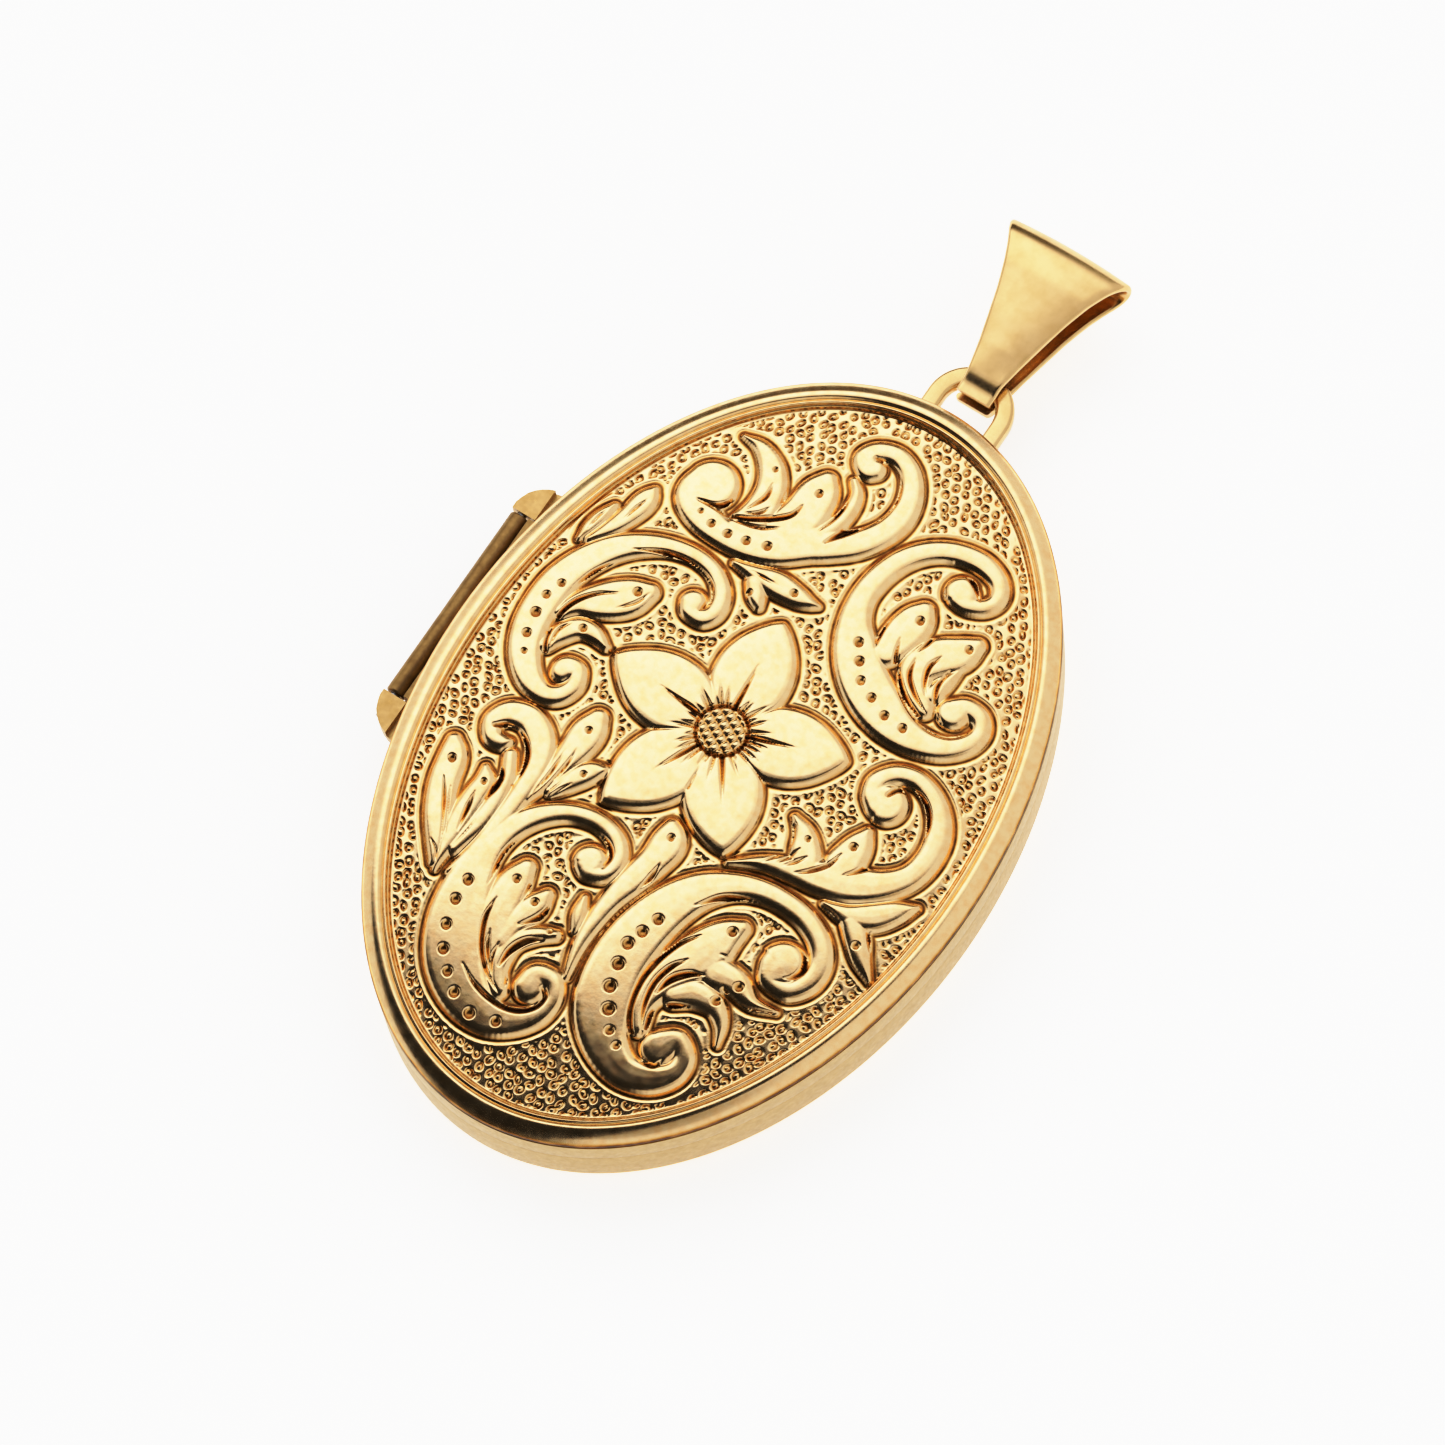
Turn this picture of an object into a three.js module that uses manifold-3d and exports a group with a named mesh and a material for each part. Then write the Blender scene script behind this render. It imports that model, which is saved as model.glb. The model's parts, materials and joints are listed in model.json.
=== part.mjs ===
// Oval two-picture locket: an embossed front on a side hinge, a flat back and a folded bail.
// Millimetres. The origin is the middle of the flat back, +Z comes out of the embossed front
// and +Y points to the bail. The locket is modelled closed, with the bail standing in line.

import * as THREE from 'three';
import { mergeVertices } from 'three/addons/utils/BufferGeometryUtils.js';
import Module from 'manifold-3d';

const wasm = await Module();
wasm.setup();

// Driving dimensions
const HALF_WIDTH = 12.86;
const HALF_LENGTH = 18.5;
const SEAM_Z = 3.05; // where the two halves meet, and the height of the hinge axis
const PLATE_EDGE_Z = 4.6; // where the front plate meets its side band
const GROUND_Z = 4.9; // stippled ground of the front plate
const RIM_TOP_Z = 5.2;
const RELIEF_TOP_Z = 5.4; // top of the flower
const SCROLL_TOP_Z = 5.25;
const RIM_WIDTH = 1.28;
const SHEET = 0.45; // thickness of the pressed plates and of the side bands
const SOLDER = 0.03; // gap left between pieces that are soldered together
const SEAM_GAP = 0.04; // gap between the two closed halves

const HINGE_X = -13.49;
const KNUCKLE_RADIUS = 0.46;
const KNUCKLE_BORE = 0.23;
const PIN_RADIUS = 0.2;
const KNUCKLE_Y = [-4.4, 5.15]; // lower and upper end of the front half's long knuckle
const EAR_GAP = 0.12; // free play between the knuckle and each ear
const EAR_REACH = 1.75; // length of an ear along the hinge

const RING_CENTRE_Y = 19.6; // centre of the half-round top of the bail ring
const RING_OUTER = 2.0;
const RING_INNER = 1.17;
const RING_Z = 2.55;
const RING_THICKNESS = 0.7;

const BAIL_AXIS_Y = 20.97; // the line about which the bail swings, inside the ring's band
const BAIL_SHEET = 0.4;
const BAIL_HALF_GAP = 0.69; // clear space each side of the swing axis
const BAIL_FOLD_RADIUS = 1.0;

const OVAL_STEPS = 56;
const TURN = 2 * Math.PI;

const materials = {
  polishedGold: new THREE.MeshStandardMaterial({ color: 0xe8bf68, roughness: 0.22, metalness: 1 }),
  satinGold: new THREE.MeshStandardMaterial({ color: 0xcfa865, roughness: 0.5, metalness: 1 }),
  steel: new THREE.MeshStandardMaterial({ color: 0xb9babd, roughness: 0.35, metalness: 1 }),
  card: new THREE.MeshStandardMaterial({ color: 0xe9e2d0, roughness: 0.9, metalness: 0 }),
  window: new THREE.MeshStandardMaterial({ color: 0xf2f5f6, roughness: 0.1, metalness: 0 }),
};

// Booleans

function solid(geometry) {
  const bare = geometry.clone();
  bare.deleteAttribute('normal');
  bare.deleteAttribute('uv');
  const merged = mergeVertices(bare, 1e-5);
  return new wasm.Manifold(new wasm.Mesh({
    numProp: 3,
    vertProperties: new Float32Array(merged.attributes.position.array),
    triVerts: new Uint32Array(merged.index.array),
  }));
}

function geometryOf(manifold) {
  const mesh = manifold.getMesh();
  const geometry = new THREE.BufferGeometry();
  geometry.setAttribute('position', new THREE.BufferAttribute(mesh.vertProperties, 3));
  geometry.setIndex(new THREE.BufferAttribute(mesh.triVerts, 1));
  geometry.computeVertexNormals();
  return geometry;
}

// A closed body that runs round the oval. Each corner of the section is [inset, z], with the
// inset measured in from the outer oval; a section that starts and ends at CENTRE fills the oval.

const CENTRE = null;

function ovalBody(section) {
  const positions = [];
  const rows = section.map(([inset, z]) => {
    const first = positions.length / 3;
    const count = inset === CENTRE ? 1 : OVAL_STEPS;
    for (let i = 0; i < count; i += 1) {
      const angle = (TURN * i) / OVAL_STEPS;
      const across = inset === CENTRE ? 0 : HALF_WIDTH - inset;
      const along = inset === CENTRE ? 0 : HALF_LENGTH - inset;
      positions.push(across * Math.cos(angle), along * Math.sin(angle), z);
    }
    return { first, count };
  });
  const at = (row, i) => row.first + (row.count === 1 ? 0 : i % OVAL_STEPS);
  const index = [];
  const fillsOval = section[0][0] === CENTRE;
  const lastRow = fillsOval ? rows.length - 1 : rows.length;
  for (let k = 0; k < lastRow; k += 1) {
    const from = rows[k];
    const to = rows[(k + 1) % rows.length];
    for (let i = 0; i < OVAL_STEPS; i += 1) {
      if (to.count > 1) index.push(at(from, i), at(to, i + 1), at(to, i));
      if (from.count > 1) index.push(at(from, i), at(from, i + 1), at(to, i + 1));
    }
  }
  const geometry = new THREE.BufferGeometry();
  geometry.setAttribute('position', new THREE.Float32BufferAttribute(positions, 3));
  geometry.setIndex(index);
  geometry.computeVertexNormals();
  return geometry;
}

const ovalRing = (insetOut, insetIn, low, high) => ovalBody([
  [insetOut, low], [insetOut, high], [insetIn, high], [insetIn, low],
]);

const ovalPlate = (inset, low, high) => ovalBody([
  [CENTRE, low], [inset, low], [inset, high], [CENTRE, high],
]);

function prism(points, low, high) {
  const shape = new THREE.Shape(points.map(([x, y]) => new THREE.Vector2(x, y)));
  const geometry = new THREE.ExtrudeGeometry(shape, { depth: high - low, bevelEnabled: false });
  return geometry.translate(0, 0, low);
}

// Front plate and its relief

const smoothed = (points, steps) => new THREE.SplineCurve(
  points.map(([x, y]) => new THREE.Vector2(x, y)),
).getPoints(steps);

// A raised strip along a curve, widest near its middle and narrow at both ends.
function scrollStrip(points, width) {
  const steps = 18;
  const line = smoothed(points, steps);
  const sides = [[], []];
  for (let i = 0; i <= steps; i += 1) {
    const before = line[Math.max(i - 1, 0)];
    const after = line[Math.min(i + 1, steps)];
    const along = after.clone().sub(before).normalize();
    const half = 0.5 * width * (0.3 + 0.7 * Math.sin((Math.PI * i) / steps));
    sides[0].push([line[i].x - along.y * half, line[i].y + along.x * half]);
    sides[1].unshift([line[i].x + along.y * half, line[i].y - along.x * half]);
  }
  return prism([...sides[0], ...sides[1]], GROUND_Z - 0.1, SCROLL_TOP_Z);
}

const SCROLLS = [
  { width: 1.5, points: [[-6.9, 10.0], [-8.1, 10.8], [-6.9, 12.0], [-5.0, 10.9], [-3.2, 9.4], [-0.2, 10.2],
    [0.6, 12.6], [-0.4, 14.8], [-1.7, 14.3]] },
  { width: 1.5, points: [[5.6, 11.2], [6.2, 12.4], [4.9, 13.2], [2.9, 12.0], [2.0, 9.4], [3.8, 6.6],
    [6.8, 5.2], [9.0, 5.9], [8.8, 7.4], [7.6, 7.2]] },
  { width: 1.5, points: [[-4.3, 5.0], [-5.4, 5.0], [-5.4, 6.4], [-7.2, 6.3], [-9.2, 4.2], [-9.9, 1.4],
    [-9.2, -1.1], [-7.3, -1.8], [-6.3, -0.5], [-7.2, 0.4]] },
  { width: 1.2, points: [[7.2, 1.6], [6.4, 2.6], [7.6, 3.4], [9.2, 2.3], [9.6, 0.0], [7.6, -1.8],
    [4.6, -2.8]] },
  { width: 1.6, points: [[7.9, -6.9], [8.9, -6.0], [7.8, -4.8], [5.0, -5.0], [2.4, -7.0], [1.6, -10.4],
    [3.4, -13.3], [5.8, -13.4], [6.3, -11.9], [5.1, -11.8]] },
  { width: 1.6, points: [[-1.6, -6.8], [-0.6, -5.9], [-1.8, -4.8], [-4.0, -5.6], [-5.8, -8.2], [-5.4, -11.6],
    [-3.2, -14.2], [-0.6, -14.4], [0.3, -12.8], [-0.9, -12.5]] },
  { width: 1.0, points: [[-8.1, -4.4], [-9.0, -3.6], [-8.0, -2.9], [-6.9, -4.2], [-7.2, -6.8]] },
];

const FLOWER = { x: -0.3, y: 1.0, petals: 5, reach: 5.3, halfWidth: 2.3, firstAngle: 96 };

function petal(angle) {
  const outline = smoothed([
    [0.2, 0], [1.6, 1.5], [3.4, FLOWER.halfWidth], [4.9, 1.3], [FLOWER.reach, 0],
    [4.9, -1.3], [3.4, -FLOWER.halfWidth], [1.6, -1.5], [0.2, 0],
  ], 20).slice(0, -1).map((p) => [p.x, p.y]);
  return prism(outline, GROUND_Z - 0.1, RELIEF_TOP_Z - 0.1)
    .rotateZ(THREE.MathUtils.degToRad(angle))
    .translate(FLOWER.x, FLOWER.y, 0);
}

function frontPlate() {
  const underside = GROUND_Z - SHEET;
  let plate = solid(ovalBody([
    [CENTRE, underside], [0.12, underside], [0, PLATE_EDGE_Z + SOLDER], [0.2, 4.92], [0.5, RIM_TOP_Z],
    [0.85, 5.08], [0.92, 5.0], [1.04, 5.06], [1.2, 4.94], [RIM_WIDTH, GROUND_Z], [CENTRE, GROUND_Z],
  ]));
  for (const { points, width } of SCROLLS) plate = plate.add(solid(scrollStrip(points, width)));
  for (let i = 0; i < FLOWER.petals; i += 1) {
    plate = plate.add(solid(petal(FLOWER.firstAngle + (360 / FLOWER.petals) * i)));
  }
  const boss = new THREE.CylinderGeometry(1.15, 1.3, 0.6, 20).rotateX(Math.PI / 2);
  boss.translate(FLOWER.x, FLOWER.y, RELIEF_TOP_Z - 0.3);
  return geometryOf(plate.add(solid(boss)));
}

function frontBand() {
  const top = GROUND_Z - SHEET - SOLDER;
  return ovalBody([
    [0, SEAM_Z + SEAM_GAP], [0, top - 0.05], [0.05, top], [SHEET, top], [SHEET, SEAM_Z + SEAM_GAP],
  ]);
}

// Back half

function backPlate() {
  return ovalBody([
    [CENTRE, 0], [0.95, 0], [0.45, 0.14], [0.13, 0.46], [0, 0.9], [SHEET, 0.9], [0.75, SHEET],
    [CENTRE, SHEET],
  ]);
}

const backBand = () => ovalRing(0, SHEET, 0.9 + SOLDER, SEAM_Z);

// The lip stands up from the back half and slides into the front half, which holds it shut.
const snapLip = () => ovalBody([
  [0.51, 1.6], [0.51, 3.45], [0.6, 3.55], [0.76, 3.55], [0.84, 3.45], [0.84, 1.6],
]);

const backBezel = () => ovalBody([
  [0.87, 0.75], [0.87, 2.9], [1.35, 2.9], [1.35, 1.15], [1.95, 1.15], [1.95, 0.75],
]);

const frontBezel = () => ovalRing(1.25, 1.6, 3.15, GROUND_Z - SHEET - SOLDER);

// A picture frame: a springy oval ring with a rolled inner edge. facing is +1 where the picture
// looks up and -1 where it looks down.
const pictureFrame = (inset, z, height, facing) => {
  const far = z + facing * height;
  const section = [
    [inset, z], [inset, far], [inset + 0.55, far], [inset + 0.95, z + facing * 0.4 * height],
    [inset + 0.95, z],
  ];
  return ovalBody(facing > 0 ? section : section.reverse());
};

// Hinge

function lathedTube(outer, inner, low, high) {
  const corners = [[inner, low], [outer, low], [outer, high], [inner, high], [inner, low]];
  return new THREE.LatheGeometry(corners.map(([r, y]) => new THREE.Vector2(r, y)), 20);
}

function lathedRod(radius, low, high) {
  const corners = [[0, low], [radius, low], [radius, high], [0, high]];
  return new THREE.LatheGeometry(corners.map(([r, y]) => new THREE.Vector2(r, y)), 16);
}

const caseCutter = () => solid(ovalPlate(-SOLDER, -1, 7));

// The strip that fills the wedge between the oval side and the straight knuckle.
function hingeBearer(low, high) {
  const outer = HINGE_X + KNUCKLE_RADIUS + SOLDER;
  const block = prism([
    [outer, KNUCKLE_Y[0]], [-11.5, KNUCKLE_Y[0]], [-11.5, KNUCKLE_Y[1]], [outer, KNUCKLE_Y[1]],
  ], low, high);
  return geometryOf(solid(block).subtract(caseCutter()));
}

// An ear at one end of the hinge: a rounded lug on the back half that holds the pin.
// side is +1 for the upper ear and -1 for the lower one.
function hingeEar(side) {
  const start = side > 0 ? KNUCKLE_Y[1] + EAR_GAP : KNUCKLE_Y[0] - EAR_GAP;
  const outer = HINGE_X - KNUCKLE_RADIUS;
  const round = smoothed([
    [outer, 0.3], [outer + 0.22, 0.9], [outer + 0.65, 1.35], [outer + 1.2, 1.62], [outer + 1.9, EAR_REACH],
  ], 8).map((p) => [p.x, p.y]);
  const outline = [[-11.4, 0], [outer, 0], ...round, [-11.4, EAR_REACH]]
    .map(([x, y]) => [x, start + side * y]);
  const step = prism([
    [HINGE_X + 0.7, start - 1], [-11, start - 1], [-11, start + 3], [HINGE_X + 0.7, start + 3],
  ].map(([x, y]) => [x, side > 0 ? y : y - 2]), SEAM_Z - 0.05, SEAM_Z + 1);
  const bore = lathedRod(KNUCKLE_BORE, start - 3, start + 3).translate(HINGE_X, 0, SEAM_Z);
  return geometryOf(solid(prism(outline, 2.45, SEAM_Z + 0.38))
    .subtract(caseCutter())
    .subtract(solid(step))
    .subtract(solid(bore)));
}

// Bail ring: a flat half ring with straight legs that run into the side of the case.

function bailRing() {
  const legEnd = HALF_LENGTH - 1;
  const shape = new THREE.Shape();
  shape.moveTo(RING_OUTER, legEnd);
  shape.lineTo(RING_OUTER, RING_CENTRE_Y);
  shape.absarc(0, RING_CENTRE_Y, RING_OUTER, 0, Math.PI, false);
  shape.lineTo(-RING_OUTER, legEnd);
  shape.lineTo(-RING_INNER, legEnd);
  shape.lineTo(-RING_INNER, RING_CENTRE_Y);
  shape.absarc(0, RING_CENTRE_Y, RING_INNER, Math.PI, 0, true);
  shape.lineTo(RING_INNER, legEnd);
  const bevel = 0.14;
  const ring = new THREE.ExtrudeGeometry(shape, {
    depth: RING_THICKNESS - 2 * bevel,
    bevelThickness: bevel,
    bevelSize: bevel,
    bevelOffset: -bevel,
    bevelSegments: 1,
    curveSegments: 12,
  }).translate(0, 0, RING_Z - RING_THICKNESS / 2 + bevel);
  return geometryOf(solid(ring).subtract(caseCutter()));
}

// Bail: one tapered strip folded over at the top and curled under the ring's band. Its place is
// the swing axis; the section below is [up, out] from that axis, along the middle of the sheet.

function bailMiddleLine() {
  const side = BAIL_HALF_GAP + BAIL_SHEET / 2;
  const foldUp = 5.88;
  const foldOut = 0.55;
  const line = [[-0.97, 0.62], [-0.5, 0.66], [0.05, side], [2.8, 1.28], [5.1, 1.5]];
  for (let degrees = 90; degrees >= -90; degrees -= 20) {
    const angle = THREE.MathUtils.degToRad(degrees);
    line.push([foldUp + BAIL_FOLD_RADIUS * Math.cos(angle), foldOut + BAIL_FOLD_RADIUS * Math.sin(angle)]);
  }
  line.push([4.2, -0.6], [1.6, -0.84], [0.1, -side], [-0.45, -0.82], [-0.82, -0.55]);
  line.push([-1.0, -0.15], [-0.95, 0.2], [-0.75, 0.3]);
  return line.map(([up, out]) => new THREE.Vector2(up, out));
}

function stripSection(line, thickness) {
  const sides = [[], []];
  line.forEach((point, i) => {
    const before = line[Math.max(i - 1, 0)];
    const after = line[Math.min(i + 1, line.length - 1)];
    const along = after.clone().sub(before).normalize();
    const across = new THREE.Vector2(-along.y, along.x).multiplyScalar(thickness / 2);
    sides[0].push(point.clone().add(across));
    sides[1].unshift(point.clone().sub(across));
  });
  return [...sides[0], ...sides[1]];
}

const BAIL_OUTLINE = [ // [up from the swing axis, half width]
  [-1.5, 0.86], [0.1, 0.87], [1.2, 1.13], [2.4, 1.45], [3.7, 1.8], [4.9, 2.15], [5.7, 2.55], [6.3, 2.95],
  [6.8, 3.1], [7.5, 3.1],
];

function bail() {
  const reach = 3.5;
  const section = new THREE.Shape(stripSection(bailMiddleLine(), BAIL_SHEET));
  const strip = new THREE.ExtrudeGeometry(section, { depth: 2 * reach, bevelEnabled: false });
  strip.translate(0, 0, -reach).applyMatrix4(new THREE.Matrix4().makeBasis(
    new THREE.Vector3(0, 1, 0),
    new THREE.Vector3(0, 0, 1),
    new THREE.Vector3(1, 0, 0),
  ));
  const right = BAIL_OUTLINE.map(([up, half]) => [half, up]);
  const left = BAIL_OUTLINE.map(([up, half]) => [-half, up]).reverse();
  const taper = prism([...right, ...left], -4, 4);
  return geometryOf(solid(strip).intersect(solid(taper)));
}

// Assembly

const locket = new THREE.Group();

function addPiece(parent, name, geometry, material, x = 0, y = 0, z = 0) {
  const mesh = new THREE.Mesh(geometry, material);
  mesh.name = name;
  mesh.position.set(x, y, z);
  parent.add(mesh);
}

const { polishedGold, satinGold, steel, card, window } = materials;

const backHalf = new THREE.Group();
locket.add(backHalf);
addPiece(backHalf, 'back_plate', backPlate(), polishedGold);
addPiece(backHalf, 'back_band', backBand(), satinGold);
addPiece(backHalf, 'snap_lip', snapLip(), polishedGold);
addPiece(backHalf, 'back_bezel', backBezel(), polishedGold);
addPiece(backHalf, 'back_picture_card', ovalPlate(1.4, 1.18, 1.43), card);
addPiece(backHalf, 'back_window', ovalPlate(1.4, 1.46, 1.76), window);
addPiece(backHalf, 'back_picture_frame', pictureFrame(1.38, 1.79, 0.95, 1), polishedGold);
addPiece(backHalf, 'back_hinge_bearer', hingeBearer(2.55, SEAM_Z - SEAM_GAP), satinGold);
addPiece(backHalf, 'hinge_ear_upper', hingeEar(1), satinGold);
addPiece(backHalf, 'hinge_ear_lower', hingeEar(-1), satinGold);
addPiece(backHalf, 'hinge_pin', lathedRod(PIN_RADIUS, -5.6, 6.3), steel, HINGE_X, 0, SEAM_Z);
addPiece(backHalf, 'bail_ring', bailRing(), satinGold);

const frontHalf = new THREE.Group();
locket.add(frontHalf);
addPiece(frontHalf, 'front_plate', frontPlate(), polishedGold);
addPiece(frontHalf, 'front_band', frontBand(), satinGold);
addPiece(frontHalf, 'front_bezel', frontBezel(), polishedGold);
addPiece(frontHalf, 'front_picture_card', ovalPlate(1.63, 4.15, 4.4), card);
addPiece(frontHalf, 'front_window', ovalPlate(1.63, 3.83, 4.12), window);
addPiece(frontHalf, 'front_picture_frame', pictureFrame(1.63, 3.8, 0.62, -1), polishedGold);
addPiece(frontHalf, 'front_hinge_bearer', hingeBearer(SEAM_Z + SEAM_GAP, 3.6), satinGold);
addPiece(frontHalf, 'hinge_knuckle', lathedTube(KNUCKLE_RADIUS, KNUCKLE_BORE, ...KNUCKLE_Y), satinGold,
  HINGE_X, 0, SEAM_Z);

addPiece(locket, 'bail', bail(), satinGold, 0, BAIL_AXIS_Y, RING_Z);

export default locket;
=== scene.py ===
import json
import math

import bpy
import numpy as np
from mathutils import Matrix, Vector


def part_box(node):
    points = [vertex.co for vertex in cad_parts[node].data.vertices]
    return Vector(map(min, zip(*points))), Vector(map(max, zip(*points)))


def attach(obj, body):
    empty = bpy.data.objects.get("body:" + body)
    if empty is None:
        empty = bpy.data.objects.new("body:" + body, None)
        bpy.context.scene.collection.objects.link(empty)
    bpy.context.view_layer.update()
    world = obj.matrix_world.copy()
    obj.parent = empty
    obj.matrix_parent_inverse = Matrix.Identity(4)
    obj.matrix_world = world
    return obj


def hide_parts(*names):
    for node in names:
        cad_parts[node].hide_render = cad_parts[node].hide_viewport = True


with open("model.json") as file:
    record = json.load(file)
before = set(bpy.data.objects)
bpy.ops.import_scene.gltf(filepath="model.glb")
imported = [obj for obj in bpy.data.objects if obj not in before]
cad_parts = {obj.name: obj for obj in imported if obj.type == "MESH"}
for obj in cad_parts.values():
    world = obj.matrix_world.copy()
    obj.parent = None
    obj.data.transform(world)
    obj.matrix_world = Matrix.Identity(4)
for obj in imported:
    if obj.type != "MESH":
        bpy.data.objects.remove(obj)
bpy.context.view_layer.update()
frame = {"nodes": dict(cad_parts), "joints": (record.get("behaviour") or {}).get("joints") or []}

# Oval gold picture locket. Lengths below are in millimetres and MM turns them into metres.
MM = 0.001


def node_box(name):
    """Lowest and highest corner of a CAD node, in millimetres."""
    low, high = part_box(name)
    return np.array(low) / MM, np.array(high) / MM


def levels(name):
    """Lowest and highest z of a CAD node, in millimetres."""
    low, high = node_box(name)
    return low[2], high[2]


PLATE_LOW, PLATE_HIGH = node_box("front_plate")
PLATE_UNDERSIDE = float(PLATE_LOW[2])
HALF_WIDTH = float(PLATE_HIGH[0])
HALF_LENGTH = float(PLATE_HIGH[1])
GROUND_DEPTH = 0.5
GROUND_Z = float(PLATE_HIGH[2]) - GROUND_DEPTH  # stippled ground of the front plate
RIM_WIDTH = 1.28
FIELD_HALF_WIDTH = HALF_WIDTH - RIM_WIDTH
FIELD_HALF_LENGTH = HALF_LENGTH - RIM_WIDTH

# ---- ornament, drawn one by one
# A stroke is a list of (x, y, half width) in the plane of the front, joined by a smooth line.

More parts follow.
